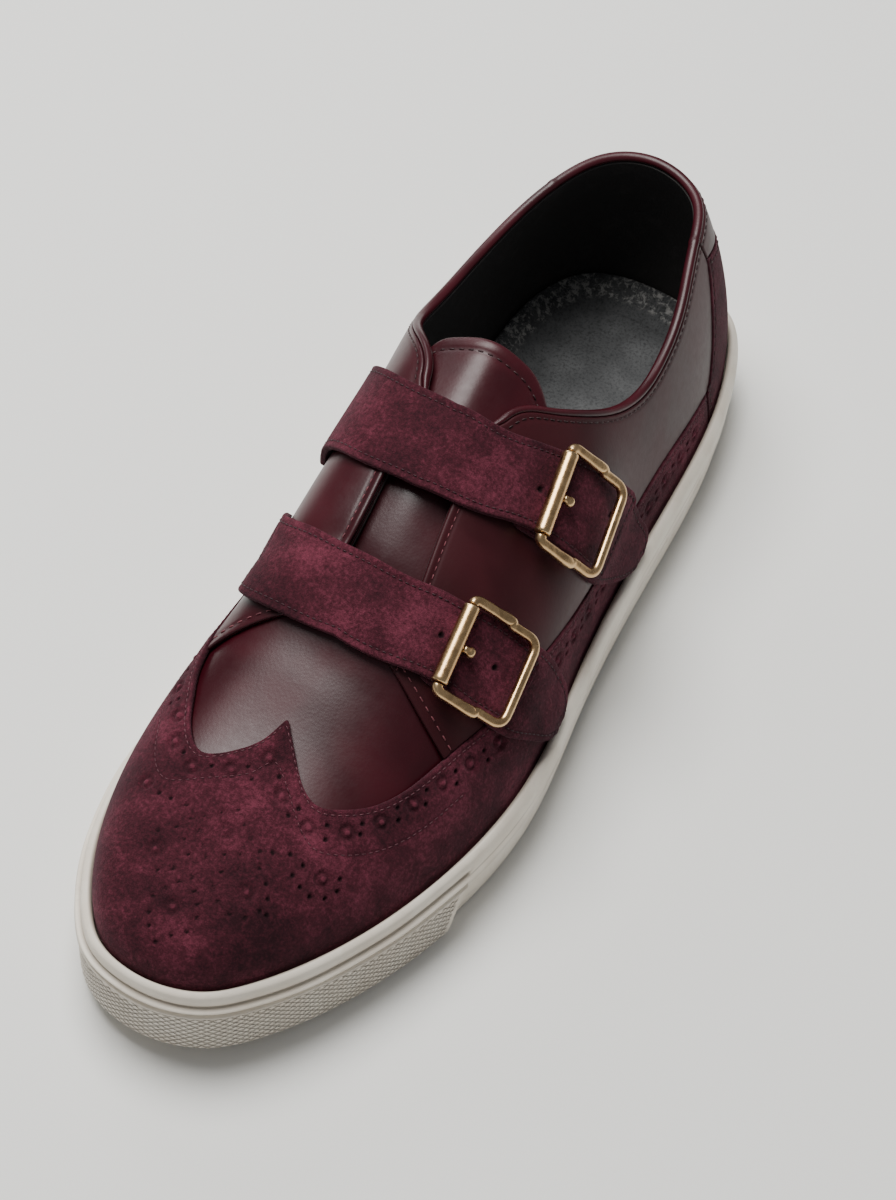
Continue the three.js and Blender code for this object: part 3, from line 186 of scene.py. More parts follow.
class Curve:
    """Cubic spline through knots, with natural ends or given end slopes."""

    def __init__(self, xs, ys, slope0=None, slope1=None):
        x = np.asarray(xs, float)
        y = np.asarray(ys, float)
        n = len(x)
        h = np.diff(x)
        rise = np.diff(y) / h
        matrix = np.zeros((n, n))
        right = np.zeros(n)
        for i in range(1, n - 1):
            matrix[i, i - 1] = h[i - 1]
            matrix[i, i] = 2 * (h[i - 1] + h[i])
            matrix[i, i + 1] = h[i]
            right[i] = 6 * (rise[i] - rise[i - 1])
        matrix[0, 0] = 1
        matrix[-1, -1] = 1
        if slope0 is not None:
            matrix[0, :2] = (2 * h[0], h[0])
            right[0] = 6 * (rise[0] - slope0)
        if slope1 is not None:
            matrix[-1, -2:] = (h[-1], 2 * h[-1])
            right[-1] = 6 * (slope1 - rise[-1])
        self.x, self.y, self.h = x, y, h
        self.m = np.linalg.solve(matrix, right)

    def _at(self, q):
        q = np.asarray(q, float)
        i = np.clip(np.searchsorted(self.x, q) - 1, 0, len(self.x) - 2)
        h = self.h[i]
        return i, h, (self.x[i + 1] - q) / h, (q - self.x[i]) / h

    def __call__(self, q):
        i, h, u, v = self._at(q)
        bend = (u**3 - u) * self.m[i] + (v**3 - v) * self.m[i + 1]
        return u * self.y[i] + v * self.y[i + 1] + bend * h * h / 6

    def slope(self, q):
        i, h, u, v = self._at(q)
        bend = (3 * v * v - 1) * self.m[i + 1] - (3 * u * u - 1) * self.m[i]
        return (self.y[i + 1] - self.y[i]) / h + bend * h / 6


def around_shoe(rows, lateral, medial, scale=1.0, mirror=1.0, start=0.0):
    """Closed curve through two columns: lateral side on 0..1, medial side on 1..2."""
    one = [(row[0], start + row[lateral] * scale) for row in rows]
    one += [(2 - row[0], start + row[medial] * scale * mirror) for row in rows[-2:0:-1]]
    knots = [(turn + at, value) for turn in (-2, 0, 2) for at, value in one]
    return Curve(*zip(*knots))


def table(rows, key, column, slope0=None, slope1=None, scale=1.0):
    return Curve([r[key] for r in rows], [r[column] * scale for r in rows], slope0, slope1)


def y_of(along):
    return HEEL_BACK - LENGTH * along


def smooth(x, low, high):
    k = np.clip((np.asarray(x, float) - low) / (high - low), 0, 1)
    return k * k * (3 - 2 * k)


def mix(a, b, k):
    return a + (b - a) * k


def bell(x, width):
    return np.exp(-((x / width) ** 2))


def running(steps):
    return np.concatenate([[0], np.cumsum(steps)])


def path_lengths(points):
    return running(np.linalg.norm(np.diff(points, axis=0), axis=1))


def along_path(stations, lengths, rows):
    return np.stack([np.interp(stations, lengths, rows[:, k]) for k in range(3)], -1)


def circle(count):
    return np.arange(count) / count * 2 * np.pi


outline_x = around_shoe(OUTLINE, 2, 3, scale=BALL_WIDTH, mirror=-1.0)
outline_y = around_shoe(OUTLINE, 1, 1, scale=-LENGTH, start=HEEL_BACK)
lean_of = around_shoe(FULLNESS, 1, 2)
wall_of = around_shoe(FULLNESS, 3, 4, scale=LAST_HEIGHT)
shoulder_of = around_shoe(FULLNESS, 5, 6, scale=LAST_HEIGHT)
comb_x = table(COMB, 0, 1, scale=BALL_WIDTH)
comb_z = table(COMB, 0, 2, scale=LAST_HEIGHT)
meeting = table(MEETING, 0, 1, 0.0, 0.0)


# Last

# Where the toe starts to rise (share of LENGTH), and how fast
SPRING_START = 0.715
SPRING_POWER = 1.8


def spring_at(y):
    along = (HEEL_BACK - np.asarray(y, float)) / LENGTH
    return TOE_SPRING * np.clip((along - SPRING_START) / (1 - SPRING_START), 0, 1) ** SPRING_POWER


def outline_at(turn, inset):
    dx = outline_x.slope(turn)
    dy = outline_y.slope(turn)
    size = np.hypot(dx, dy)
    nx, ny = -dy / size, dx / size
    return outline_x(turn) - nx * inset, outline_y(turn) - ny * inset, nx, ny


def face(around, across):
    """Outer face of the upper; across is the signed girth, 0 at the comb, 1 at the sole."""
    around, across = np.broadcast_arrays(np.asarray(around, float), np.asarray(across, float))
    girth = np.minimum(np.abs(across), 1)[..., None]
    turn = np.where(across >= 0, around, (2 - around) % 2)
    fx, fy, nx, ny = outline_at(turn, FOOT_INSET)
    along = meeting(around)
    rise = comb_z.slope(along) / LENGTH
    run = np.hypot(1, rise)
    out = np.stack([nx, ny / run, -ny * rise / run], -1)
    out /= np.linalg.norm(out, axis=-1, keepdims=True)
    top = np.stack([comb_x(along), y_of(along), comb_z(along)], -1)
    lean = lean_of(turn)
    pull = wall_of(turn) / np.hypot(1, lean)
    base = np.stack([fx, fy, FOOT_LEVEL + spring_at(fy)], -1)
    low = base + np.stack([nx * lean * pull, ny * lean * pull, pull], -1)
    high = top + out * shoulder_of(turn)[..., None]
    u, v = girth, 1 - girth
    return base * u**3 + 3 * low * u * u * v + 3 * high * u * v * v + top * v**3


def spokes(around, side):
    """Both ends of a station's spoke: on the comb, and on the edge of the foot."""
    turn = np.where(side >= 0, around, (2 - around) % 2)
    fx, fy, _, _ = outline_at(turn, FOOT_INSET)
    along = meeting(around)
    return comb_x(along), y_of(along), fx, fy


def to_map(around, across):
    """Flat map: straight spokes from the comb to the edge of the foot, x and y in millimetres."""
    ex, ey, fx, fy = spokes(around, across)
    girth = np.abs(across)
    return mix(ex, fx, girth), mix(ey, fy, girth)


BISECTIONS = 26


def from_map(x, y):
    """Station and signed girth of a place on the flat map."""
    x, y = np.broadcast_arrays(np.asarray(x, float), np.asarray(y, float))
    tip_x, tip_y, tip_fx, tip_fy = spokes(1.0, 1)
    heel_x, heel_y, heel_fx, heel_fy = spokes(0.0, 1)
    line = comb_x(np.clip((HEEL_BACK - y) / LENGTH, MEETING[0][1], MEETING[-1][1]))
    line = np.where(y < tip_y, mix(tip_x, tip_fx, (y - tip_y) / (tip_fy - tip_y)), line)
    line = np.where(y > heel_y, mix(heel_x, heel_fx, (y - heel_y) / (heel_fy - heel_y)), line)
    side = np.where(x >= line, 1.0, -1.0)
    low = np.zeros_like(x)
    high = np.ones_like(x)
    for _ in range(BISECTIONS):
        mid = (low + high) / 2
        ex, ey, fx, fy = spokes(mid, side)
        turned = ((fx - ex) * (y - ey) - (fy - ey) * (x - ex)) * side > 0
        high = np.where(turned, mid, high)
        low = np.where(turned, low, mid)
    ex, ey, fx, fy = spokes(low, side)
    size = (fx - ex) ** 2 + (fy - ey) ** 2
    girth = np.clip(((x - ex) * (fx - ex) + (y - ey) * (fy - ey)) / size, 0, 1)
    return low, girth * side


def unit(v):
    size = np.linalg.norm(v, axis=-1, keepdims=True)
    return v / np.where(size < 1e-12, 1, size)


class ToeNormals:
    """Outward directions over the toe on an even grid of the flat map, read in between."""

    PITCH = 1.5
    LOW = (-62.0, -262.0)
    HIGH = (50.0, -168.0)

    def __init__(self):
        self.xs = np.arange(self.LOW[0], self.HIGH[0], self.PITCH)
        self.ys = np.arange(self.LOW[1], self.HIGH[1], self.PITCH)
        gx, gy = np.meshgrid(self.xs, self.ys, indexing="ij")
        points = face(*from_map(gx, gy))
        du = np.gradient(points, axis=0)
        dv = np.gradient(points, axis=1)
        self.grid = unit(np.cross(du, dv))

    def __call__(self, x, y):
        i = np.clip((x - self.xs[0]) / self.PITCH, 0, len(self.xs) - 1.001)
        j = np.clip((y - self.ys[0]) / self.PITCH, 0, len(self.ys) - 1.001)
        a, b = i.astype(int), j.astype(int)
        u, v = (i - a)[..., None], (j - b)[..., None]
        g = self.grid
        low = g[a, b] * (1 - u) + g[a + 1, b] * u
        high = g[a, b + 1] * (1 - u) + g[a + 1, b + 1] * u
        return unit(low * (1 - v) + high * v)


toe_normals = ToeNormals()


# Girth over which the two sides blend at the comb, step of the slopes, and the part of the
# toe (stations, girth) whose directions come from the even grid
COMB_BLEND = 0.08
SLOPE_STEP = 0.004
TOE_STATIONS = (0.79, 0.82)
TOE_GIRTH = (0.33, 0.38)


def flank_normal(around, girth, side):
    step = SLOPE_STEP
    ahead, behind = np.minimum(around + step, 1), np.maximum(around - step, 0)
    along = face(ahead, girth * side) - face(behind, girth * side)
    down = face(around, np.minimum(girth + step, 1) * side) - face(around, (girth - step) * side)
    return unit(np.cross(along, down)) * side[..., None]


def normal(around, across):
    """Outward direction, blended over the comb and read from the flat grid over the toe."""
    around, across = np.broadcast_arrays(np.asarray(around, float), np.asarray(across, float))
    side = np.where(across >= 0, 1.0, -1.0)
    girth = np.abs(across)
    g = np.maximum(girth, COMB_BLEND)
    n = flank_normal(around, g, side)
    if np.any(girth < COMB_BLEND):
        share = np.clip(0.5 - 0.5 * girth / COMB_BLEND, 0, 0.5)[..., None]
        n = unit(mix(n, flank_normal(around, g, -side), share))
    x, y = to_map(around, across)
    toe = smooth(around, *TOE_STATIONS) * (1 - smooth(girth, *TOE_GIRTH))
    blended = unit(mix(n, toe_normals(x, y), toe[..., None]))
    return np.where(toe[..., None] > 0, blended, n)


collar_edge = {1: table(TOPLINE, 0, 1), -1: table(TOPLINE, 0, 2)}
# Girth hidden under the collar binding, which ends where the facing starts
BINDING = 0.03
FACING_START = (0.47, 0.5)
THROAT_END = 0.66
# Gaps between neighbouring panels, in girth and in stations
SEAM = 0.0045
STEP_AROUND = 0.0014
WING_REAR = 0.205


def panel_edge(around, side):
    return collar_edge[side](around) + BINDING * (1 - smooth(around, *FACING_START))


# Creases and dents worn into the upper, in millimetres of the flat map: three points of the
# line, half width, depth. They push every layer of the upper in or out together.
CREASES = [
    ([(-34, -146), (-8, -141), (22, -148)], 5.0, 0.8),
    ([(-26, -157), (0, -153), (26, -160)], 6.0, -0.55),
    ([(-30, -168), (-4, -166), (22, -171)], 6.0, 0.4),
    ([(-38, -138), (-30, -150), (-30, -163)], 5.0, 0.6),
    ([(30, -138), (24, -150), (26, -164)], 5.0, 0.6),
]


# Fullness of the lateral side under the upper buckle: middle (around, across), reach in the
# same shares, height as a share of BALL_WIDTH
BUCKLE_FULLNESS = ((0.44, 0.62), (0.085, 0.17), 0.048)


def distance_to_line(x, y, line):
    """Distance to a polyline and the share of its length at the nearest point."""
    points = np.asarray(line, float)
    lengths = np.linalg.norm(np.diff(points, axis=0), axis=1)
    starts = running(lengths)
    best = np.full(np.shape(x), 1e9)
    where = np.zeros(np.shape(x))
    for k in range(len(points) - 1):
        ax, ay = points[k]
        bx, by = points[k + 1]
        t = np.clip(((x - ax) * (bx - ax) + (y - ay) * (by - ay)) / lengths[k] ** 2, 0, 1)
        d = np.hypot(x - mix(ax, bx, t), y - mix(ay, by, t))
        closer = d < best
        best = np.where(closer, d, best)
        where = np.where(closer, (starts[k] + t * lengths[k]) / starts[-1], where)
    return best, where


def bowed(line, count=12):
    """Smooth line through three points."""
    a, b, c = (np.asarray(p, float) for p in line)
    return bezier(a, 2 * b - (a + c) / 2, c, count - 1)


def bezier(p0, p1, p2, steps):
    t = np.linspace(0, 1, steps + 1)[:, None]
    p0, p1, p2 = (np.asarray(p, float) for p in (p0, p1, p2))
    return (1 - t) ** 2 * p0 + 2 * t * (1 - t) * p1 + t * t * p2


CREASE_FADE = 0.7


def relief(around, across):
    """Height of swell and creases over the plain surface."""
    x, y = to_map(around, across)
    (mid_around, mid_across), (wide, deep), height = BUCKLE_FULLNESS
    swell = ((around - mid_around) / wide) ** 2 + ((across - mid_across) / deep) ** 2
    total = height * BALL_WIDTH * np.exp(-swell)
    for line, width, depth in CREASES:
        d, share = distance_to_line(x, y, bowed(line))
        total -= depth * np.sin(np.pi * np.clip(share, 0, 1)) ** CREASE_FADE * bell(d, width)
    return total


def over(around, across, depth):
    """Place on the upper at a depth, and the outward direction there."""
    n = normal(around, across)
    lift = np.asarray(depth + relief(around, across))
    return face(around, across) + n * lift[..., None], n


# Meshes

# Value of an attribute of distance where nothing is near
FAR = 9.0


def link(name, data):
    piece = bpy.data.objects.new(name, data)
    bpy.context.scene.collection.objects.link(piece)
    return piece


def add_piece(name, points, faces, material, nodes=(), values=None):
    """Mesh piece on the body; points in millimetres, values are extra numbers per point."""
    mesh = bpy.data.meshes.new(name)
    mesh.from_pydata((np.asarray(points, float) * MM).tolist(), [], faces)
    for key, column in (values or {}).items():
        layer = mesh.attributes.new(key, "FLOAT", "POINT")
        layer.data.foreach_set("value", np.asarray(column, np.float32).ravel())
    mesh.shade_smooth()
    mesh.materials.append(material)
    piece = link(name, mesh)
    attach(piece, "root")
    if nodes:
        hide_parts(*nodes)


def plain_values(points):
    """Attributes of leather without an edge, hole or seam."""
    return dict.fromkeys(("edge", "hole", "seam"), np.full(len(points), FAR))


def fix_winding(points, faces):
    """Faces turned to point out, judged by the volume that they close."""
    p = np.asarray(points, float)
    total = 0.0
    for size in {len(f) for f in faces}:
        corners = p[np.array([f for f in faces if len(f) == size])]
        first = corners[:, 0]
        for k in range(1, size - 1):
            total += np.einsum("ij,ij", first, np.cross(corners[:, k], corners[:, k + 1]))
    return [f[::-1] for f in faces] if total < 0 else faces


# Distances of the close grid lines that round an edge
EDGE_LINES = (0.1, 0.25, 0.45, 0.75, 1.2)


def spaced(length, pitch, fine=EDGE_LINES, ends=(True, True)):
    """Shares 0..1 along a length, with close lines near the chosen ends."""
    start = [f for f in fine if f < length / 3] if ends[0] else []
    stop = [f for f in fine if f < length / 3] if ends[1] else []
    a = start[-1] if start else 0.0
    b = length - (stop[-1] if stop else 0.0)
    middle = np.linspace(a, b, max(2, int(round((b - a) / pitch)) + 1))
    marks = [0.0, *start[:-1], *middle, *[length - f for f in stop[:-1]][::-1], length]
    return np.unique(np.round(np.array(marks) / length, 9))


def arc_along(points, axis):
    """Distance along grid lines from their start, and from their end."""
    d = np.linalg.norm(np.diff(points, axis=axis), axis=-1)
    pad = [(0, 0), (0, 0)]
    pad[axis] = (1, 0)
    run = np.pad(np.cumsum(d, axis=axis), pad)
    total = np.take(run, [-1], axis=axis)
    return run, total - run


class Panel:
    """Leather panel over the last, as a grid of stations with a rounded edge."""

    # The inner face keeps one grid line in three
    COARSE = 3
    # Reach of a punched or pressed mark; shares of its radius below
    NEAR = 2.2
    BOWL = (0.45, 1.05)
    LIP_AT, LIP_WIDE, LIP_HIGH = 1.3, 0.25, 0.05
    RING_AT, RING_WIDE = 0.82, 0.36
    # Dome of a pressed ring: its reach, its height, and the share of painted highlight on it
    DOME, DOME_HIGH, DOME_PALE = (0.15, 0.65), 0.3, 0.9

    def __init__(self, around, across, inner, outer, radius=0.5, free=("i0", "i1", "j0", "j1")):
        self.around = around
        self.base = face(around, across)
        self.normals = normal(around, across)
        lift = relief(around, across)
        self.inner = np.broadcast_to(np.asarray(inner, float), around.shape) + lift
        self.height = np.broadcast_to(np.asarray(outer, float), around.shape) + lift
        self.reach = {}
        for axis, keys in enumerate((("i0", "i1"), ("j0", "j1"))):
            self.reach.update(zip(keys, arc_along(self.surface(), axis)))
        self.edge = np.min([self.reach[k] for k in free], axis=0)
        self.hole, self.seam = np.full(around.shape, FAR), np.full(around.shape, FAR)
        self.ring = np.zeros(around.shape)
        k = np.clip(self.edge / radius, 0, 1)
        self.height = self.height - radius * (1 - np.sqrt(1 - (1 - k) ** 2))

    def surface(self):
        return self.base + self.normals * self.height[..., None]

    def sink(self, d, depth, width=0.55, where=True):
        """Sunk line of stitching, from the distances to it."""
        self.height = self.height - np.where(where, depth * bell(d, width), 0)
        self.seam = np.minimum(self.seam, np.where(where, d, FAR))

    def line(self, key, offset, first=0.0, last=1.0):
        """Points and normals of the line at a distance from one edge, on the outer face."""
        reach = self.reach[key]
        points, normals = self.surface(), self.normals
        if key[0] == "j":
            reach, points, normals = reach.T, points.transpose(1, 0, 2), normals.transpose(1, 0, 2)
        if key[1] == "1":
            reach, points, normals = reach[::-1], points[::-1], normals[::-1]
        count = reach.shape[1]
        path, up = [], []
        for c in range(int(first * (count - 1)), int(last * (count - 1)) + 1):
            column = reach[:, c]
            if column[-1] <= offset:
                continue
            k = max(int(np.searchsorted(column, offset)), 1)
            t = (offset - column[k - 1]) / max(column[k] - column[k - 1], 1e-9)
            path.append(mix(points[k - 1, c], points[k, c], t))
            up.append(mix(normals[k - 1, c], normals[k, c], t))
        return np.array(path), unit(np.array(up))

    def stitch(self, threads, key, offset, first, last, depth, gauge):
        """Sunk line at a distance from one edge, with its stitches."""
        self.sink(np.abs(self.reach[key] - offset), depth)
        threads.run(*self.line(key, offset, first, last), **gauge)

    def near(self, centre, radius):
        """Points of the face near a mark, and their distances in its radii."""
        skin = self.surface()
        mask = np.abs(skin - centre).max(-1) < radius * self.NEAR
        return mask, np.linalg.norm(skin[mask] - centre, axis=-1) / radius

    def punch(self, centres, radius, depth):
        """Holes, with painted shade at the bottom."""
        for centre in centres:
            mask, d = self.near(centre, radius)
            lip = self.LIP_HIGH * bell(d - self.LIP_AT, self.LIP_WIDE)
            self.height[mask] += lip - depth * (1 - smooth(d, *self.BOWL))
            self.hole[mask] = np.minimum(self.hole[mask], (d - 1) * radius)

    def press(self, centres, radius, depth):
        """Rings pressed into the nap, with a low dome left in the middle; the ring value paints shade in
        the groove and a highlight on the dome.
        """
        for centre in centres:
            mask, d = self.near(centre, radius)
            ring = bell(d - self.RING_AT, self.RING_WIDE)
            dome = 1 - smooth(d, *self.DOME)
            self.height[mask] -= depth * (ring - self.DOME_HIGH * dome)
            self.ring[mask] += ring - self.DOME_PALE * dome

    def build(self, name, material, slot, nodes):
        rows, cols = self.around.shape
        keep_i = sorted({*range(0, rows, self.COARSE), rows - 1})
        keep_j = sorted({*range(0, cols, self.COARSE), cols - 1})
        ends_i, ends_j = (0, rows - 1), (0, cols - 1)
        picked = [(i, j) for i in range(rows) for j in range(cols) if i in ends_i or j in ends_j]
        picked += [(i, j) for i in keep_i[1:-1] for j in keep_j[1:-1]]
        under = {p: rows * cols + k for k, p in enumerate(picked)}
        inner = self.base + self.normals * self.inner[..., None]
        points = np.concatenate([self.surface().reshape(-1, 3), inner[tuple(np.array(picked).T)]])
        values = {}
        for key, plain in (("edge", 0.0), ("hole", FAR), ("seam", FAR), ("ring", 0.0)):
            values[key] = np.concatenate([getattr(self, key).ravel(), np.full(len(picked), plain)])
        grid = np.arange(rows * cols).reshape(rows, cols)
        corners = [grid[:-1, :-1], grid[1:, :-1], grid[1:, 1:], grid[:-1, 1:]]
        faces = np.stack(corners, -1).reshape(-1, 4).tolist()
        for a, b in zip(keep_i[:-1], keep_i[1:]):
            for c, d in zip(keep_j[:-1], keep_j[1:]):
                cell = [(a, j) for j in (range(c, d) if a == 0 else [c])]
                cell += [(i, d) for i in (range(a, b) if d == cols - 1 else [a])]
                cell += [(b, j) for j in (range(d, c, -1) if b == rows - 1 else [d])]
                cell += [(i, c) for i in (range(b, a, -1) if c == 0 else [b])]
                faces.append([under[p] for p in cell])
        rim = [(i, 0) for i in range(rows)] + [(rows - 1, j) for j in range(1, cols)]
        rim += [(i, cols - 1) for i in range(rows - 2, -1, -1)] + [(0, j) for j in range(cols - 2, 0, -1)]
        for p, q in zip(rim, rim[1:] + rim[:1]):
            faces.append([under[p], under[q], int(grid[q]), int(grid[p])])
        add_piece(name, points, fix_winding(points, faces), material, nodes, values)


def coons(top, bottom, start, end, across, down):
    """Grid between four edges; each edge gives (around, across) for an array of shares."""
    s, r = np.meshgrid(across, down, indexing="ij")
    result = []
    for k in (0, 1):
        t, b = top(across)[k][:, None], bottom(across)[k][:, None]
        a, e = start(down)[k][None, :], end(down)[k][None, :]
        c00, c10, c01, c11 = t[0, 0], t[-1, 0], b[0, 0], b[-1, 0]
        corner = (1 - s) * (1 - r) * c00 + s * (1 - r) * c10 + (1 - s) * r * c01 + s * r * c11
        result.append((1 - r) * t + r * b + (1 - s) * a + s * e - corner)
    return result


# Threads and tubes

class Threads:
    """Stitches, each a short tube that dips into the leather at both ends."""

    RING = 6
    # Sections of one stitch: place along it, sunk ends and shoulders (mm), share of the radius
    PLACES = np.array([-0.5, -0.38, 0.0, 0.38, 0.5])
    END, SHOULDER = -0.30, 0.08
    WIDTHS = np.array([0.55, 0.92, 1.0, 0.92, 0.55])
    MARGIN = 0.7

    def __init__(self):
        self.points, self.faces, self.count = [], [], 0

    def run(self, path, up, pitch=2.7, length=2.0, radius=0.24, rise=0.16):
        """Stitches along a path."""
        if len(path) < 2:
            return
        at = path_lengths(path)
        number = int((at[-1] - length) / pitch)
        if number < 1:
            return
        centres = np.linspace(length * self.MARGIN, at[-1] - length * self.MARGIN, number)
        lift = np.array([self.END, self.SHOULDER, rise, self.SHOULDER, self.END])
        stations = centres[:, None] + self.PLACES * length
        p = along_path(stations, at, path)
        n = unit(along_path(stations, at, up))
        b = unit(np.cross(n, unit(np.gradient(p, axis=1))))
        p = p + n * lift[:, None]
        turn = circle(self.RING)[:, None]
        ring = n[:, :, None] * np.cos(turn) + b[:, :, None] * np.sin(turn)
        skin = p[:, :, None] + ring * (self.WIDTHS * radius)[:, None, None]
        stitches, rings = skin.shape[:2]
        self.points.append(skin.reshape(-1, 3))
        for s in range(stitches):
            first = self.count + s * rings * self.RING
            for i in range(rings - 1):
                for j in range(self.RING):
                    k = (j + 1) % self.RING
                    a = first + i * self.RING
                    self.faces.append([a + j, a + k, a + self.RING + k, a + self.RING + j])
            last = first + (rings - 1) * self.RING
            self.faces.append([first + j for j in range(self.RING)][::-1])
            self.faces.append([last + j for j in range(self.RING)])
        self.count += stitches * rings * self.RING

    def build(self, name, material, slot):
        add_piece(name, np.concatenate(self.points), self.faces, material)


def tube(count, ring):
    """Points and faces of an open tube; ring(i) gives the points of each cross-section."""
    sections = [np.asarray(ring(i), float) for i in range(count)]
    size = len(sections[0])
    faces = [list(range(size)), [(count - 1) * size + j for j in range(size)][::-1]]
    for i in range(count - 1):
        for j in range(size):
            a, b = i * size + j, i * size + (j + 1) % size
            faces.append([a, a + size, b + size, b])
    points = np.concatenate(sections)
    return points, fix_winding(points, faces)


def loop_faces(count, depth):
    """Faces between neighbouring columns of a closed ring of columns."""
    faces = []
    for i in range(count):
        for j in range(depth - 1):
            a, b = i * depth + j, (i + 1) % count * depth + j
            faces.append([a, b, b + 1, a + 1])
    return faces


# Materials

# Diamonds of the knurl, millimetres
KNURL_WIDE = 2.9
KNURL_TALL = 2.1
KNURL_DEEP = 0.34


def srgb(red, green, blue):
    """Display colour from 0 to 255 as a linear colour with alpha."""
    def linear(v):
        v /= 255
        return v / 12.92 if v <= 0.04045 else ((v + 0.055) / 1.055) ** 2.4
    return (linear(red), linear(green), linear(blue), 1.0)


class Shader:
    """Small helper around one material's nodes; sizes of patterns are in millimetres."""

    def __init__(self, name):
        self.material = bpy.data.materials.new(name)
        self.material.use_nodes = True
        self.nodes = self.material.node_tree.nodes
        self.links = self.material.node_tree.links
        self.surface = self.nodes["Principled BSDF"]
        self.coords = self.nodes.new("ShaderNodeTexCoord").outputs["Object"]

    def add(self, kind, inputs, output, **settings):
        """Node with its settings and inputs (by name or place); gives one output."""
        node = self.nodes.new("ShaderNode" + kind)
        for key, value in settings.items():
            setattr(node, key, value)
        for key, value in inputs.items():
            if isinstance(value, bpy.types.NodeSocket):
                self.links.new(value, node.inputs[key])
            elif value is not None:
                node.inputs[key].default_value = value
        return node.outputs[output]

    def set(self, **values):
        for key, value in values.items():
            socket = self.surface.inputs[key.replace("_", " ")]
            if isinstance(value, bpy.types.NodeSocket):
                self.links.new(value, socket)
            else:
                socket.default_value = value
        return self.material

    def noise(self, size, detail=3.0, rough=0.5, warp=0.0):
        inputs = {"Vector": self.coords, "Scale": 1000 / size, "Detail": detail}
        return self.add("TexNoise", {**inputs, "Roughness": rough, "Distortion": warp}, "Fac")

    def cells(self, size):
        return self.add("TexVoronoi", {"Vector": self.coords, "Scale": 1000 / size}, "Distance")

    def value(self, name):
        return self.add("Attribute", {}, "Fac", attribute_name=name)

    def math(self, kind, a, b=0.0, c=None):
        return self.add("Math", {0: a, 1: b, 2: c}, 0, operation=kind)

    def blend(self, first, *others):
        """Sum of pairs of pattern and weight."""
        total = self.math("MULTIPLY", *first)
        for pattern, weight in others:
            total = self.math("MULTIPLY_ADD", pattern, weight, total)
        return total

    def fade(self, value, low, high, to_low=0.0, to_high=1.0):
        inputs = {"Value": value, "From Min": low, "From Max": high, "To Min": to_low, "To Max": to_high}
        return self.add("MapRange", inputs, "Result", interpolation_type="SMOOTHSTEP")

    def mix(self, share, a, b):
        return self.add("Mix", {"Factor": share, "A": a, "B": b}, "Result", data_type="RGBA")

    def layers(self, color, *rows):
        """Colours laid over each other; each row fades one in: value, range, shares, colour."""
        for value, low, high, to_low, to_high, other in rows:
            color = self.mix(self.fade(value, low, high, to_low, to_high), color, other)
        return color

    def ramp(self, value, *stops):
        output = self.add("ValToRGB", {"Fac": value}, "Color")
        ramp = output.node.color_ramp
        while len(ramp.elements) < len(stops):
            ramp.elements.new(0.5)
        for element, (place, color) in zip(ramp.elements, stops):
            element.position = place
            element.color = color
        return output

    def bump(self, height, depth, strength=1.0, after=None):
        inputs = {"Strength": strength, "Distance": depth * MM, "Height": height, "Normal": after}
        return self.add("Bump", inputs, "Normal")


def suede(name, dark, middle, light):
    s = Shader(name)
    patches = s.noise(22, 2.0, 0.5, 0.4)
    mottle = s.noise(5.5, 3.0, 0.6, 0.8)
    nap = s.noise(1.0, 4.0, 0.78)
    fibre = s.noise(0.3, 2.0, 0.7)
    tone = s.blend((nap, 0.44), (mottle, 0.22), (patches, 0.34))
    ring = s.value("ring")
    color = s.layers(
        s.ramp(tone, (0.39, dark), (0.5, middle), (0.64, light)),
        (fibre, 0.42, 0.72, 0.0, 0.45, dark),
        # Painted shade at the bottom of the punched holes
        (s.value("hole"), -0.35, 0.25, 0.92, 0.0, srgb(14, 3, 6)),
        # Painted shade in the groove of each pressed ring, and a painted highlight on its dome
        (ring, 0.0, 1.0, 0.0, 0.34, srgb(34, 10, 17)),
        (ring, -0.7, 0.0, 0.55, 0.0, light),
        (s.value("seam"), 0.1, 0.9, 0.3, 0.0, dark),
        (s.value("edge"), 0.0, 0.5, 0.35, 0.0, srgb(48, 18, 27)),
    )
    height = s.blend((mottle, 0.8), (nap, 0.9), (fibre, 0.6))
    s.set(Base_Color=color, Roughness=0.92, Sheen_Weight=0.12, Sheen_Roughness=0.4)
    s.set(Sheen_Tint=srgb(205, 140, 160), Specular_IOR_Level=0.2)
    return s.set(Normal=s.bump(height, 0.36, 0.9))


def smooth_leather(name, deep, lively, roughness, specular):
    s = Shader(name)
    clouds = s.noise(26, 2.0, 0.5, 0.3)
    fine = s.noise(2.2, 3.0, 0.55)
    pores = s.cells(0.85)
    wrinkle = s.noise(7.0, 3.0, 0.55, 1.2)
    color = s.layers(
        deep,
        (clouds, 0.35, 0.68, 0.0, 1.0, lively),
        (fine, 0.5, 0.8, 0.0, 0.25, deep),
        (s.value("edge"), 0.0, 0.6, 0.5, 0.0, srgb(45, 14, 20)),
        (s.value("seam"), 0.1, 0.8, 0.35, 0.0, srgb(34, 9, 14)),
    )
    polish = s.blend((clouds, 0.6), (fine, 0.4))
    rough = s.fade(polish, 0.3, 0.7, roughness - 0.04, roughness + 0.05)
    s.set(Base_Color=color, Roughness=rough, Specular_IOR_Level=specular)
    return s.set(Normal=s.bump(s.blend((fine, 0.3), (pores, 0.4), (wrinkle, 0.8)), 0.12, 0.22))


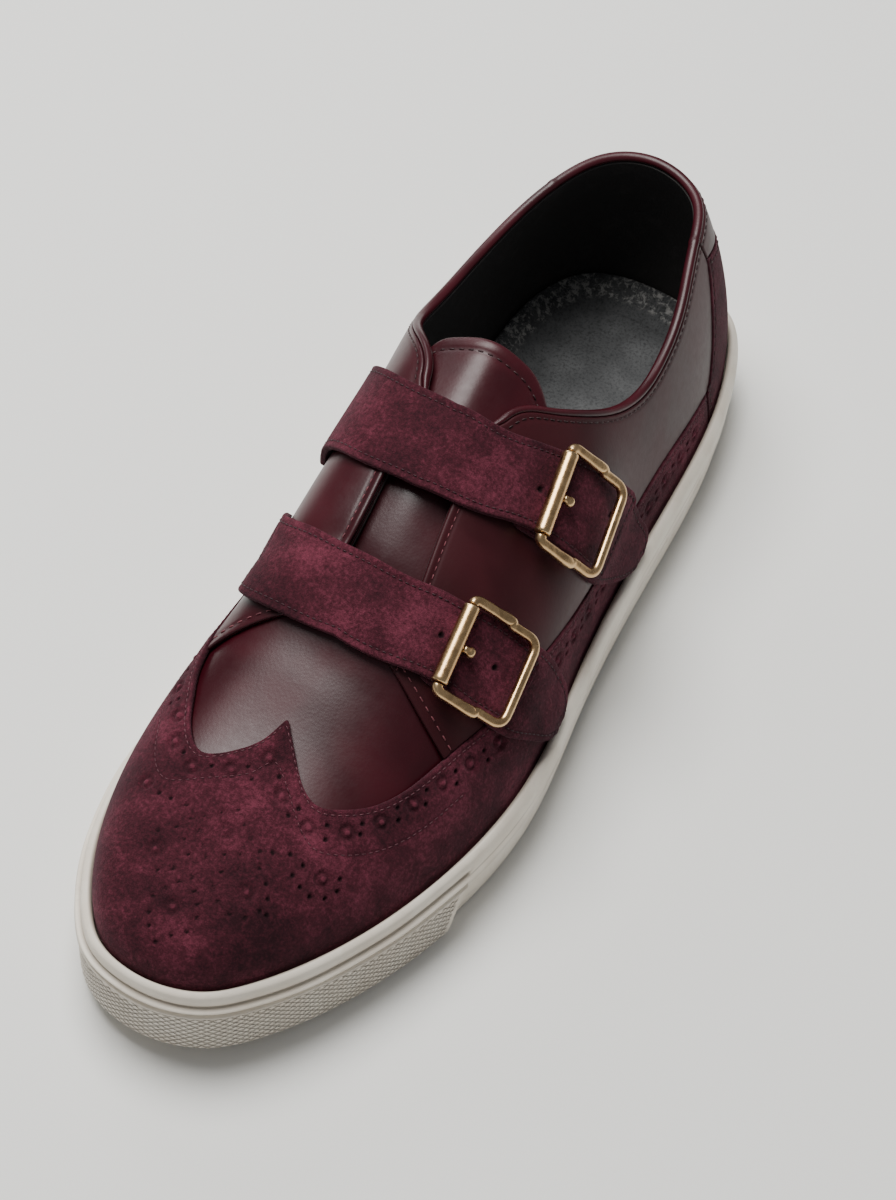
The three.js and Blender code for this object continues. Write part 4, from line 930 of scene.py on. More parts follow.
def rubber(name, light, shade, grime_and_shade):
    """Off-white rubber; the knurl of the bumper follows the run and height kept on the mesh."""
    s = Shader(name)
    run, level, knurled = s.value("run"), s.value("level"), s.value("knurled")
    ridges = []
    for way in (1, -1):
        slope = s.blend((run, 1 / KNURL_WIDE), (level, way / KNURL_TALL))
        ridges.append(s.math("ABSOLUTE", s.math("SINE", s.math("MULTIPLY", slope, math.pi))))
    valley = s.fade(s.math("MINIMUM", *ridges), 0.0, 0.7, 1.0, 0.0)
    valley = s.math("MULTIPLY", valley, knurled)
    cloud = s.noise(14, 3.0, 0.5, 0.5)
    fine = s.noise(1.6, 3.0, 0.6)
    stain = s.noise(9, 4.0, 0.65, 1.0)
    color = s.layers(
        light,
        (cloud, 0.35, 0.7, 0.0, 1.0, shade),
        (stain, 0.58, 0.85, 0.0, 0.35, grime_and_shade),
        (fine, 0.55, 0.8, 0.0, 0.12, grime_and_shade),
    )
    # Painted shade: the darkening value kept on the mesh and the valleys of the knurl both mix the rubber
    # towards the tone of its stains
    for pattern, share in ((s.value("grime_and_shade"), 0.6), (valley, 0.38)):
        color = s.mix(s.math("MULTIPLY", pattern, share), color, grime_and_shade)
    s.set(Base_Color=color, Roughness=s.fade(cloud, 0.3, 0.7, 0.5, 0.64), Specular_IOR_Level=0.42)
    even = s.bump(s.math("MULTIPLY_ADD", fine, 0.5, cloud), 0.15, 0.35)
    return s.set(Normal=s.bump(s.math("SUBTRACT", 1.0, valley), 0.7, 1.0, even))


def antique_brass(name, dark, middle, light, worn):
    s = Shader(name)
    tarnish = s.noise(4.5, 4.0, 0.6, 0.8)
    brushed = s.noise(0.5, 3.0, 0.6)
    pointed = s.add("NewGeometry", {}, "Pointiness")
    color = s.ramp(tarnish, (0.3, dark), (0.52, middle), (0.72, light))
    color = s.layers(color, (pointed, 0.5, 0.6, 0.0, 0.75, worn))
    rough = s.fade(s.blend((brushed, 0.3), (tarnish, 0.7)), 0.3, 0.7, 0.2, 0.34)
    return s.set(Base_Color=color, Metallic=1.0, Roughness=rough, Normal=s.bump(brushed, 0.05, 0.3))


def lining_leather(name, dark, worn):
    s = Shader(name)
    cloud = s.noise(9, 4.0, 0.6, 0.5)
    grain = s.noise(0.7, 3.0, 0.6)
    color = s.layers(dark, (cloud, 0.5, 0.85, 0.0, 0.6, worn))
    s.set(Base_Color=color, Roughness=0.8, Specular_IOR_Level=0.3)
    return s.set(Normal=s.bump(s.math("MULTIPLY_ADD", cloud, 2.0, grain), 0.15, 0.5))


def footbed_felt(name, dark, pale, scuff):
    s = Shader(name)
    cloud = s.noise(12, 3.0, 0.5, 0.2)
    grain = s.noise(0.9, 3.0, 0.7)
    rubbed = s.noise(2.2, 5.0, 0.8, 0.4)
    color = s.layers(
        dark,
        (cloud, 0.3, 0.75, 0.0, 1.0, pale),
        (grain, 0.42, 0.72, 0.0, 0.6, srgb(34, 35, 36)),
    )
    rim = s.fade(s.value("rim"), 0.25, 0.9)
    color = s.mix(s.math("MULTIPLY", rim, s.fade(rubbed, 0.48, 0.62, 0.0, 0.6)), color, scuff)
    s.set(Base_Color=color, Roughness=0.9, Specular_IOR_Level=0.25)
    return s.set(Normal=s.bump(s.math("ADD", grain, cloud), 0.3, 0.6))


def waxed_thread(name, color, shade):
    s = Shader(name)
    twist = s.noise(0.5, 2.0, 0.5)
    color = s.layers(shade, (twist, 0.35, 0.65, 0.0, 1.0, color))
    return s.set(Base_Color=color, Roughness=0.6, Normal=s.bump(twist, 0.08, 0.6))


SUEDE = suede("plum_suede", srgb(38, 11, 19), srgb(67, 24, 35), srgb(110, 48, 64))
LEATHER = smooth_leather("plum_leather", srgb(46, 5, 14), srgb(60, 10, 21), 0.35, 0.36)
# Greyer copy of the plum leather with duller gloss, for the lateral quarter and the back tab; the grey in
# its base colour is a painted reflection of the pale floor
GREYED_REFLECTION_LEATHER = smooth_leather("plum_leather_painted_reflection", srgb(48, 15, 20), srgb(60, 21, 27), 0.44, 0.2)
RUBBER = rubber("off_white_rubber", srgb(234, 226, 212), srgb(224, 214, 199), srgb(148, 134, 118))
BRASS_TONES = (srgb(172, 138, 98), srgb(196, 160, 116), srgb(210, 176, 132), srgb(232, 205, 160))
BRASS = antique_brass("antique_brass", *BRASS_TONES)
LINING = lining_leather("black_lining", srgb(60, 58, 57), srgb(84, 81, 80))
FOOTBED = footbed_felt("grey_footbed", srgb(72, 73, 74), srgb(90, 91, 92), srgb(186, 184, 180))
THREAD = waxed_thread("pink_thread", srgb(124, 62, 70), srgb(84, 34, 44))
THREAD_WING = waxed_thread("wing_thread", srgb(104, 56, 66), srgb(66, 26, 37))
THREAD_STRAP = waxed_thread("strap_thread", srgb(58, 20, 31), srgb(38, 11, 19))
THREAD_DARK = waxed_thread("dark_thread", srgb(52, 16, 22), srgb(34, 9, 14))

pink_threads, wing_threads, strap_threads, dark_threads = (Threads() for _ in range(4))

# Stitches, millimetres
DARK_GAUGE = {"pitch": 2.4, "length": 1.7, "radius": 0.2}
COUNTER_GAUGE = {"pitch": 2.5, "length": 1.75, "radius": 0.2}
TONGUE_GAUGE = {"pitch": 2.6, "length": 1.8}
FACING_GAUGE = {"pitch": 2.3, "length": 1.6, "radius": 0.18}
FRONT_GAUGE = {"pitch": 2.6, "length": 1.8, "radius": 0.21}
STRAP_GAUGE = {"pitch": 1.9, "length": 1.35, "radius": 0.16}
WING_GAUGE = {"pitch": 1.9, "length": 1.3, "rise": 0.08}


# Upper shell and lining

def paced(turns, inset, pitch, extra):
    """Turns at a given pitch along the outline, which may change on the way."""
    x, y, _, _ = outline_at(turns, inset)
    run = running(np.hypot(np.diff(x), np.diff(y)) / pitch[1:])
    return np.interp(np.linspace(0, run[-1], int(run[-1]) + extra), run, turns)


TURN_SAMPLES = 6001
# Stations over which the grid lines draw closer
FINE_TOE = (0.56, 0.66)


def grid_turns(pitch_side, pitch_toe, start=0.0, stop=2.0):
    """Turns round the shoe with lines closer over the toe."""
    t = np.linspace(start, stop, TURN_SAMPLES)
    toe = smooth(np.minimum(t, 2 - t), *FINE_TOE)
    return paced(t, FOOT_INSET, mix(pitch_side, pitch_toe, toe), 1)


def both_edges(around, side):
    return np.where(side > 0, panel_edge(around, 1), panel_edge(around, -1))


# Gap between the seat of the cup sole and what stands on it
SEAT_GAP = 0.3
# Where the seat slopes down, millimetres ahead of the origin
SEAT_SLOPE = (20, 170)


def shell(name, low, high, material):
    """One layer of the upper between two depths, open at collar, throat and underneath."""
    turns = grid_turns(2.0, 1.6)[:-1]
    rows = spaced(90, 1.6, fine=(0.3, 0.8), ends=(False, True))
    around = np.minimum(turns, 2 - turns)
    side = np.where(turns <= 1, 1, -1)
    edge = np.where(around < THROAT_END, both_edges(around, side), 0.0)
    girth = mix(1.0, edge[:, None], rows[None, :])
    stations = np.broadcast_to(around[:, None], girth.shape)
    across = np.where(girth < 1e-9, 1e-9, girth * side[:, None])
    layers = []
    for depth in (high, low):
        top, _ = over(stations, across, np.full(girth.shape, depth))
        fx, fy, _, _ = outline_at(turns, FOOT_INSET - depth)
        foot = np.stack([fx, fy, seat_at(fy) + SEAT_GAP], -1)[:, None]
        layers.append(np.concatenate([foot, top], axis=1))
    count, depth = layers[0].shape[:2]
    points = np.concatenate([layer.reshape(-1, 3) for layer in layers])
    other = count * depth
    faces = loop_faces(count, depth)
    faces += [[other + v for v in (f[0], *f[:0:-1])] for f in faces]
    opened = around < THROAT_END
    for i in range(count):
        k = (i + 1) % count
        a, b = i * depth, k * depth
        faces.append([a, other + a, other + b, b])
        if opened[i] or opened[k]:
            a, b = a + depth - 1, b + depth - 1
            faces.append([a, b, other + b, other + a])
    points, faces = weld(points, faces)
    faces = fix_winding(points, faces)
    add_piece(name, points, faces, material, ["upper"], plain_values(points))


def weld(points, faces, grain=0.002):
    """Joins points that fall together, and drops faces that collapse."""
    keys = np.round(points / grain).astype(np.int64)
    _, first, back = np.unique(keys, axis=0, return_index=True, return_inverse=True)
    back = back.ravel()
    kept = []
    for f in faces:
        g = [int(v) for v in back[f]]
        g = [v for k, v in enumerate(g) if k == 0 or v != g[k - 1]]
        if g[0] == g[-1]:
            g.pop()
        if len(set(g)) == len(g) and len(g) > 2:
            kept.append(g)
    return points[first], kept


def seat_at(y):
    """Height of the seat inside the cup sole, which drops from the heel to the ball."""
    return mix(SEAT, BALL_SEAT, smooth(-np.asarray(y, float), *SEAT_SLOPE)) + spring_at(y)


shell("vamp", LINING_OUT, SHELL_OUT, LEATHER)
shell("inner_lining", LINING_IN, LINING_OUT - 0.05, LINING)


# Tongue

# Sides of the tongue (across) at its top and in front, its top edge (across, around), and
# the station in front where it ends
TONGUE_WIDE = (-0.3, 0.37)
TONGUE_NARROW = (-0.27, 0.3)
TONGUE_TOP = [
    (-0.3, 0.432), (-0.23, 0.417), (-0.17, 0.412), (-0.04, 0.412), (0.18, 0.406), (0.3, 0.404),
    (0.37, 0.41),
]
TONGUE_FRONT = 0.7
TONGUE_SEAM = 4.2
SOFT_ROUNDS = 200
tongue_top = table(TONGUE_TOP, 0, 1)


def tongue():
    kk, cc = np.meshgrid(spaced(85, 0.8), spaced(56, 0.8), indexing="ij")
    widest = mix(*TONGUE_WIDE, cc)
    across = mix(widest, mix(*TONGUE_NARROW, cc), smooth(kk, 0, 0.6))
    around = mix(tongue_top(widest), TONGUE_FRONT, kk)
    # Crowned in the middle, and thinner where it runs under the vamp
    crown = 1.3 * bell(across, 0.11) * (1 - smooth(around, 0.55, 0.63))
    crown = crown - 0.7 * smooth(around, 0.58, 0.64)
    panel = Panel(around, across, TONGUE_IN + crown, TONGUE_OUT + crown, radius=0.9)
    share = np.exp(-((across / 0.19) ** 4))[..., None]
    for grid in (panel.base, panel.normals):
        soft = grid.copy()
        for _ in range(SOFT_ROUNDS):
            soft[:, 1:-1] = (soft[:, :-2] + 2 * soft[:, 1:-1] + soft[:, 2:]) / 4
        grid += (soft - grid) * share
    # Rolled top edge
    panel.height = panel.height + 0.35 * bell(panel.reach["i0"] - 1.9, 1.6)
    panel.stitch(dark_threads, "i0", TONGUE_SEAM, 0.06, 0.94, 0.3, TONGUE_GAUGE)
    panel.build("tongue_leather", LEATHER, "plum_leather", ["tongue"])


tongue()


# Toe piece with its wings

wing_turns = [r[3] if r[0] > 0 else 2 - r[3] for r in WING]
wing_marks = [to_map(r[1], r[0] * r[2]) for r in WING]
wing_x = Curve(wing_turns, [float(m[0]) for m in wing_marks])
wing_y = Curve(wing_turns, [float(m[1]) for m in wing_marks])

# Brogue work of the toe, charted as (around, across): pressed rings of the band and of
# the medallion, then small punched holes of the medallion and of the band
RINGS = [
    (0.848, -0.21), (0.875, -0.063), (0.838, 0.027), (0.848, 0.15), (0.822, 0.32), (0.778, 0.45),
    (0.74, 0.517), (0.703, 0.563), (0.67, 0.597), (0.638, 0.643), (0.793, -0.357), (0.755, -0.427),
    (0.835, -0.413), (0.817, 0.533), (0.927, 0.387), (1.0, -0.45), (0.943, -0.327), (0.977, 0.123),
]
PINS = [
    (0.892, -0.25), (0.918, -0.183), (0.87, -0.313), (0.955, -0.12), (0.982, -0.07), (0.953, 0.063),
    (0.943, -0.167), (0.937, 0.123), (0.94, -0.223), (0.927, -0.297), (0.968, -0.16), (0.96, -0.217),
    (0.993, -0.187), (0.928, 0.183), (0.982, -0.24), (0.992, 0.223), (0.965, 0.207), (0.943, 0.217),
    (0.912, 0.25), (0.888, 0.29), (0.857, 0.35), (0.977, -0.313), (0.963, -0.363), (0.963, 0.273),
    (0.943, 0.273), (0.913, 0.313), (0.997, 0.307), (0.857, 0.433), (0.84, 0.427), (0.993, -0.343),
    (0.983, -0.393), (0.967, 0.333), (0.987, 0.357), (0.9, 0.393), (0.847, 0.5), (0.797, 0.583),
    (0.977, -0.453), (0.802, 0.623), (0.817, 0.617), (0.835, 0.567), (0.978, 0.413), (0.957, 0.397),
    (0.895, 0.463), (0.982, -0.527), (0.973, 0.473), (0.942, 0.46), (0.923, 0.503), (0.905, 0.5),
    (0.893, 0.537), (0.988, -0.587), (0.978, 0.547), (0.99, 0.587), (1.0, 0.653), (0.857, -0.137),
    (0.872, -0.02), (0.897, 0.015), (0.838, 0.097), (0.817, -0.283), (0.847, 0.223), (0.828, 0.237),
    (0.798, 0.37), (0.805, 0.407), (0.76, 0.467), (0.765, 0.493), (0.72, 0.523), (0.723, 0.56),
    (0.687, 0.563), (0.692, 0.597), (0.655, 0.607), (0.657, 0.643),
]
RING_RADIUS, RING_DEPTH = 2.0, 0.7
PIN_RADIUS, PIN_DEPTH = 0.72, 0.8
# The band: distance of its rings from the edge, pitch, and half the spread of a pair of holes
BAND = 6.9
RING_PITCH = 11.2
PIN_SPREAD = 1.5
# Rings of the chart where the even pitch takes over, lateral and medial
LAST_RINGS = (RINGS[9], RINGS[11])
# Turn of the peak of the M, gap left there in the seams, and the two seams: distance from the
# edge, the turn where each starts on the lateral and ends on the medial side, thread radius
WING_PEAK = 0.985
PEAK_GAP = 0.003
WING_SEAMS = [(1.6, 0.0, 2.0, 0.15), (12.0, 0.66, 2 - 0.68, 0.115)]


def on_face(marks, depth):
    marks = np.array(marks)
    return over(marks[..., 0], marks[..., 1], depth)[0]


def wing_band(panel, lo, hi, first_ring, turn_back):
    """Rings of the band at an even pitch along one wing, with a pair of holes between them."""
    path, up = panel.line("j0", BAND, lo, hi)
    if turn_back:
        path, up = path[::-1], up[::-1]
    start = int(np.argmin(((path - on_face(first_ring, SUEDE_OUT)) ** 2).sum(-1)))
    path, up = path[start:], up[start:]
    at = path_lengths(path)
    places = np.arange(RING_PITCH, at[-1] - 3, RING_PITCH)
    middles = places - RING_PITCH / 2
    c = along_path(middles, at, path)
    ahead = unit(along_path(middles + 0.5, at, path) - c)
    sideways = np.cross(unit(along_path(middles, at, up)), ahead) * PIN_SPREAD
    return [*along_path(places, at, path)], [*(c + sideways), *(c - sideways)]


def wingtip():
    turns = grid_turns(1.2, 0.64, WING_REAR, 2 - WING_REAR)
    down = spaced(56, 0.56, ends=(True, False))
    fx, fy, _, _ = outline_at(turns, FOOT_INSET)
    mx = mix(wing_x(turns)[:, None], fx[:, None], down[None, :])
    my = mix(wing_y(turns)[:, None], fy[:, None], down[None, :])
    panel = Panel(*from_map(mx, my), SUEDE_IN, SUEDE_OUT, radius=0.45, free=("i0", "i1", "j0"))
    last = len(turns) - 1
    peak = np.argmin(np.abs(turns - WING_PEAK)) / last
    for offset, start, stop, radius in WING_SEAMS:
        along = (turns > start) & (turns < stop)
        panel.sink(np.abs(panel.reach["j0"] - offset), 0.16, 0.5, along[:, None])
        lo, hi = np.flatnonzero(along)[[0, -1]] / last
        for a, b in ((lo, peak - PEAK_GAP), (peak + PEAK_GAP, hi)):
            wing_threads.run(*panel.line("j0", offset, a, b), radius=radius, **WING_GAUGE)

    rings, pins = list(on_face(RINGS, SUEDE_OUT)), list(on_face(PINS, SUEDE_OUT))
    for band in ((0.0, peak, LAST_RINGS[0], True), (peak, 1.0, LAST_RINGS[1], False)):
        more_rings, more_pins = wing_band(panel, *band)
        rings += more_rings
        pins += more_pins
    panel.press(rings, RING_RADIUS, RING_DEPTH)
    panel.punch(pins, PIN_RADIUS, PIN_DEPTH)
    panel.build("wingtip_suede", SUEDE, "plum_suede", ["wingtip"])


wingtip()


# Quarters

# Rows of the wing that a quarter follows: below these stations, on the edge and on the sole
QUARTER_REACH, WING_REACH = 0.72, 0.76


def wing_girth(side):
    """Upper edge of the wing on one side, as far as the quarter reaches."""
    rows = [r for r in WING if r[0] == side and r[1] < QUARTER_REACH and r[3] < WING_REACH]
    return table(sorted(rows, key=lambda r: r[1]), 1, 2)


counter_front = table(COUNTER_FRONT, 1, 0)


# Front edge of the quarters: girth, around
FRONT_LATERAL = [(0.208, 0.669), (0.37, 0.668), (0.548, 0.661)]
FRONT_MEDIAL = [(0.183, 0.677), (0.35, 0.677), (0.535, 0.67)]
# Distances of the seams from the edge: along the collar, the facing and the front
COLLAR_SEAM, FACING_SEAM, FRONT_SEAM = 1.7, 2.6, 3.0


def quarter(name, node, side, front_rows, material):
    front = table(front_rows, 0, 1)
    wing_line = wing_girth(side)
    rear_top = COUNTER_FRONT[0][0] + STEP_AROUND
    rear_foot = COUNTER_FRONT[-1][0] + STEP_AROUND
    front_top, front_foot = front_rows[0][1], front_rows[-1][1]

    def top(s):
        around = mix(rear_top, front_top, s)
        return around, side * panel_edge(around, side)

    def bottom(s):
        around = mix(rear_foot, front_foot, s)
        return around, side * (wing_line(around) - SEAM)

    def between(r, end):
        return mix(abs(float(top(end)[1])), abs(float(bottom(end)[1])), r)

    def rear(r):
        girth = between(r, 0.0)
        bound = np.where(girth > COUNTER_FRONT[0][1], counter_front(girth) + STEP_AROUND, rear_top)
        return bound, side * girth

    def ahead(r):
        girth = between(r, 1.0)
        return front(girth), side * girth

    def share(around):
        return (around - rear_top) / (front_top - rear_top)

    grid = coons(top, bottom, rear, ahead, spaced(165, 0.9), spaced(46, 0.9))
    panel = Panel(*grid, QUARTER_IN, QUARTER_OUT, free=("j0", "i1"))
    # The seam runs under the binding, then along the facing at a wider margin
    offset = mix(COLLAR_SEAM, FACING_SEAM, smooth(panel.around, 0.46, 0.5))
    panel.sink(np.abs(panel.reach["j0"] - offset), 0.2, 0.5)
    # Rolled edge of the facing
    roll = smooth(panel.around, *FACING_START) * bell(panel.reach["j0"] - 1.0, 0.9)
    panel.height = panel.height + 0.28 * roll
    panel.sink(np.abs(panel.reach["i1"] - FRONT_SEAM), 0.25)
    for threads, key, margin, first, last, gauge in (
        (dark_threads, "j0", COLLAR_SEAM, 0.01, share(0.475), DARK_GAUGE),
        (pink_threads, "j0", FACING_SEAM, share(0.49), 0.985, FACING_GAUGE),
        (pink_threads, "i1", FRONT_SEAM, 0.08, 0.97, FRONT_GAUGE),
    ):
        threads.run(*panel.line(key, margin, first, last), **gauge)
    panel.build(name, material, "plum_leather", [node])


quarter("quarter_lateral_leather", "quarter_lateral", 1, FRONT_LATERAL, GREYED_REFLECTION_LEATHER)
quarter("quarter_medial_leather", "quarter_medial", -1, FRONT_MEDIAL, LEATHER)


# Heel

# Lower edge of the back tab: around, girth
TAB_LOWER = [(0, 0.625), (0.06, 0.612), (0.122, 0.565)]
TAB_END = TAB_LOWER[-1][0]
HEEL_SEAM = 2.2
tab_lower = table(TAB_LOWER, 0, 1, slope0=0.0)


def back_tab():
    a, r = np.meshgrid((spaced(74, 0.8) * 2 - 1) * TAB_END, spaced(15, 0.8), indexing="ij")
    around, side = np.abs(a), np.where(a >= 0, 1, -1)
    across = side * mix(both_edges(around, side), tab_lower(around), r)
    panel = Panel(around, across, QUARTER_IN, QUARTER_OUT + 0.25)
    panel.stitch(dark_threads, "j0", COLLAR_SEAM, 0.03, 0.97, 0.2, DARK_GAUGE)
    panel.build("back_tab_leather", GREYED_REFLECTION_LEATHER, "plum_leather", ["back_tab"])


def heel_counter():
    lowest = WING_REAR - STEP_AROUND
    k, r = np.meshgrid(spaced(118, 0.8) * 2 - 1, spaced(32, 0.8, ends=(True, False)), indexing="ij")
    share = np.abs(k)
    girth = mix(tab_lower(share * COUNTER_FRONT[0][0]) + SEAM, 1.0, r)
    edge = np.where(girth < COUNTER_FRONT[-1][1], counter_front(girth), lowest)
    around, across = np.minimum(share * edge, lowest), np.where(k >= 0, girth, -girth)
    free = ("i0", "i1", "j0")
    panel = Panel(around, across, SUEDE_IN, SUEDE_OUT, radius=0.45, free=free)
    for key in free:
        panel.stitch(dark_threads, key, HEEL_SEAM, 0.04, 0.96, 0.22, COUNTER_GAUGE)
    panel.build("counter_suede", SUEDE, "plum_suede", ["heel_counter"])


back_tab()
heel_counter()


# Collar binding

# Last station of the binding, half its width and height, depth of its middle, and how far it
# sits over the edge
BINDING_END = 0.515
BINDING_WIDE, BINDING_TALL = 1.5, 1.15
BINDING_DEPTH = -1.65
BINDING_SINK = 0.25
# Small joints where it crosses the ends of the back tab: place along it, width, swelling
JOINT_AT, JOINT_WIDE, JOINT_SWELL = 0.241, 0.004, 0.16


def binding_frame(around, side):
    """Middle line of the binding with its outward and upward directions."""
    middle, n = over(around, side * panel_edge(around, side), np.full(np.shape(around), BINDING_DEPTH))
    after = np.minimum(around + 0.01, BINDING_END + 0.005)
    before = np.maximum(around - 0.01, 0)
    forward = face(after, side * panel_edge(after, side)) - face(before, side * panel_edge(before, side))
    up = unit(np.cross(forward, n))
    return middle, n, np.where(up[..., 2:] < 0, -up, up)


def collar_binding():
    half = np.linspace(0, BINDING_END, 165)
    parts = [binding_frame(half[:0:-1], -1), binding_frame(half, 1)]
    middle, n, up = (np.concatenate([p[k] for p in parts]) for k in range(3))
    turn = circle(18)[:, None]
    along = np.abs(np.linspace(-1, 1, len(middle)))
    ending = smooth(along * BINDING_END, 0.468, 0.5)
    grow = (1 + JOINT_SWELL * bell(along - JOINT_AT, JOINT_WIDE)) * (1 - 0.5 * ending)

    def ring(i):
        a = np.cos(turn) * BINDING_WIDE * grow[i]
        b = (np.sin(turn) + 1) * BINDING_TALL * grow[i] - BINDING_SINK
        return middle[i] + n[i] * a + up[i] * b

    points, faces = tube(len(middle), ring)
    values = plain_values(points)
    add_piece("collar_roll", points, faces, LEATHER, ["collar_binding"], values)


collar_binding()


# Straps and chapes

# Punched holes along the middle of each strap: (around, across)
STRAP_HOLES = {
    "upper": [(0.482, 0.397), (0.455, 0.500), (0.418, 0.623)],
    "lower": [(0.622, 0.303), (0.612, 0.393), (0.593, 0.510)],
}


STRAP_SEAM = 2.2
REAR_SEAM = 11.0
HOLE_RADIUS, HOLE_DEPTH = 1.0, 1.1
# Straps start here on the medial side (girth); length over the foot, millimetres
STRAP_START = -0.64
STRAP_LENGTH = 150
CHAPE_LENGTH = 46
# Room between strap and quarter on the medial side, and how far the lower ends of the chapes
# stand off over the lip of the sole
MEDIAL_SLACK = 1.1
CHAPE_FLARE = 1.8


def strip(rows, start, stop, length, rounding, low, thick, radius):
    """Panel between two edges across the foot, with rounded corners at both ends."""
    across = mix(start, stop, spaced(length, 0.75))
    c = spaced(27, 0.75)
    near = np.minimum(np.abs(across - start), np.abs(across - stop))
    k = np.clip(1 - near / 0.04, 0, 1)
    inset = rounding * (1 - np.sqrt(1 - k * k * 0.9))
    rear = table(rows, 0, 1)(across) + inset
    front = table(rows, 0, 2)(across) - inset
    around = mix(rear[:, None], front[:, None], c[None, :])
    across = np.broadcast_to(across[:, None], around.shape)
    depth = low(across)
    return Panel(around, across, depth, depth + thick, radius=radius)


def climb(first, last, onto):
    """Depth of a strap's inner face: over the facing, then over its chape."""
    extra = CHAPE_HIGH - CHAPE_LOW

    def depth(w):
        slack = MEDIAL_SLACK * smooth(-w, 0.1, 0.3) * (1 - smooth(-w, 0.45, 0.62))
        rise = mix(STRAP_LOW, STRAP_HIGH, smooth(w, first, last))
        return rise + extra * smooth(w, onto - 0.1, onto) + slack

    return depth


def strap(suffix, rows, stop, low):
    panel = strip(rows, STRAP_START, stop, STRAP_LENGTH, 0.012, low, STRAP_THICK, 0.6)
    # Soft rises and falls across the strap where the leather gives
    run = panel.reach["i0"]
    wave = np.sin(run / STRAP_LENGTH * 2 * np.pi * 3.1 + 0.8) + 0.5 * np.sin(run / 9.5)
    panel.height = panel.height + 0.1 * wave
    for key, first, last in (("j0", 0.02, 0.98), ("j1", 0.02, 0.98), ("i0", 0.1, 0.9), ("i1", 0.1, 0.9)):
        panel.stitch(strap_threads, key, STRAP_SEAM, first, last, 0.25, STRAP_GAUGE)
    panel.stitch(strap_threads, "i0", REAR_SEAM, 0.12, 0.88, 0.2, STRAP_GAUGE)
    marks = np.array(STRAP_HOLES[suffix])
    panel.punch(on_face(marks, low(marks[:, 1]) + STRAP_THICK), HOLE_RADIUS, HOLE_DEPTH)
    panel.build(f"strap_{suffix}_suede", SUEDE, "plum_suede", [f"strap_{suffix}"])


def chape(suffix, rows, start, stop, first, last):
    def low(w):
        rise = mix(CHAPE_LOW, CHAPE_HIGH, smooth(w, first, last))
        return rise + CHAPE_FLARE * smooth(w, stop - 0.14, stop)

    panel = strip(rows, start, stop, CHAPE_LENGTH, 0.004, low, CHAPE_THICK, 0.5)
    for key in ("j0", "j1", "i1"):
        panel.stitch(strap_threads, key, STRAP_SEAM, 0.05, 0.95, 0.2, STRAP_GAUGE)
    panel.build(f"chape_{suffix}_suede", SUEDE, "plum_suede", [f"chape_{suffix}"])


strap("upper", STRAP_UPPER, 0.72, climb(0.22, 0.36, 0.75))
strap("lower", STRAP_LOWER, 0.65, climb(0.15, 0.29, 0.6))
chape("upper", CHAPE_UPPER, 0.38, 0.925, 0.66, 0.76)
chape("lower", CHAPE_LOWER, 0.31, 0.905, 0.52, 0.66)


# Buckles

# Gap between roller and strap, how far the roller reaches past its marks, and the clearance
# between its ends and the frame
ROLLER_GAP = 0.3
ROLLER_REACH = 1.0
ROLLER_PLAY = 0.4
# Rounded ends of the roller: inward along it, radius
ROLLER_ENDS = [(0.0, 1.7), (0.05, 2.1), (0.35, ROLLER_RADIUS)]
# Frame: half widths beyond the roller's marks behind and ahead of its step, radius of the
# corners, the step as a share of the frame's length, and squareness of the bar
FRAME_WIDE, FRAME_SLIM = 1.8, 1.0
FRAME_CORNER = 4.0
FRAME_STEP = 0.55
BAR_SQUARE = 0.85
# Prong with a round tip: place ahead of the roller's axis, radius
PRONG = [
    (2.4, 1.05), (3.0, 1.05), (3.5, 1.1), (3.9, 1.3), (4.3, 1.5), (4.8, 1.56), (5.3, 1.45), (5.7, 1.15),
    (5.95, 0.75), (6.05, 0.35),
]


def brass_piece(name, count, ring):
    kind, suffix = name.split("_")
    points, faces = tube(count, ring)
    add_piece(f"{name}_brass", points, faces, BRASS, [f"buckle_{kind}_{suffix}"])


def frame_line(half, long):
    """Middle line of the frame in its own plane, from one end of the roller to the other."""
    wide, slim, step, corner = half + FRAME_WIDE, half + FRAME_SLIM, long * FRAME_STEP, FRAME_CORNER
    line = [
        bezier((0, -half - 0.1), (0, -wide), (2.2, -wide), 9),
        bezier((4.0, -wide), (long * 0.3, -wide - 0.05), (long * 0.52, -wide), 6),
        bezier((step, -wide), (long * 0.57, -wide), (step + 0.8, -(wide + slim) / 2), 4),
        bezier((step + 1.0, -slim - 0.2), (step + 1.3, -slim), (step + 2.2, -slim), 4),
        bezier((long - corner, -slim), (long, -slim), (long, -slim + corner), 9),
    ]
    line = np.concatenate(line)
    return np.concatenate([line, line[::-1] * (1, -1)])


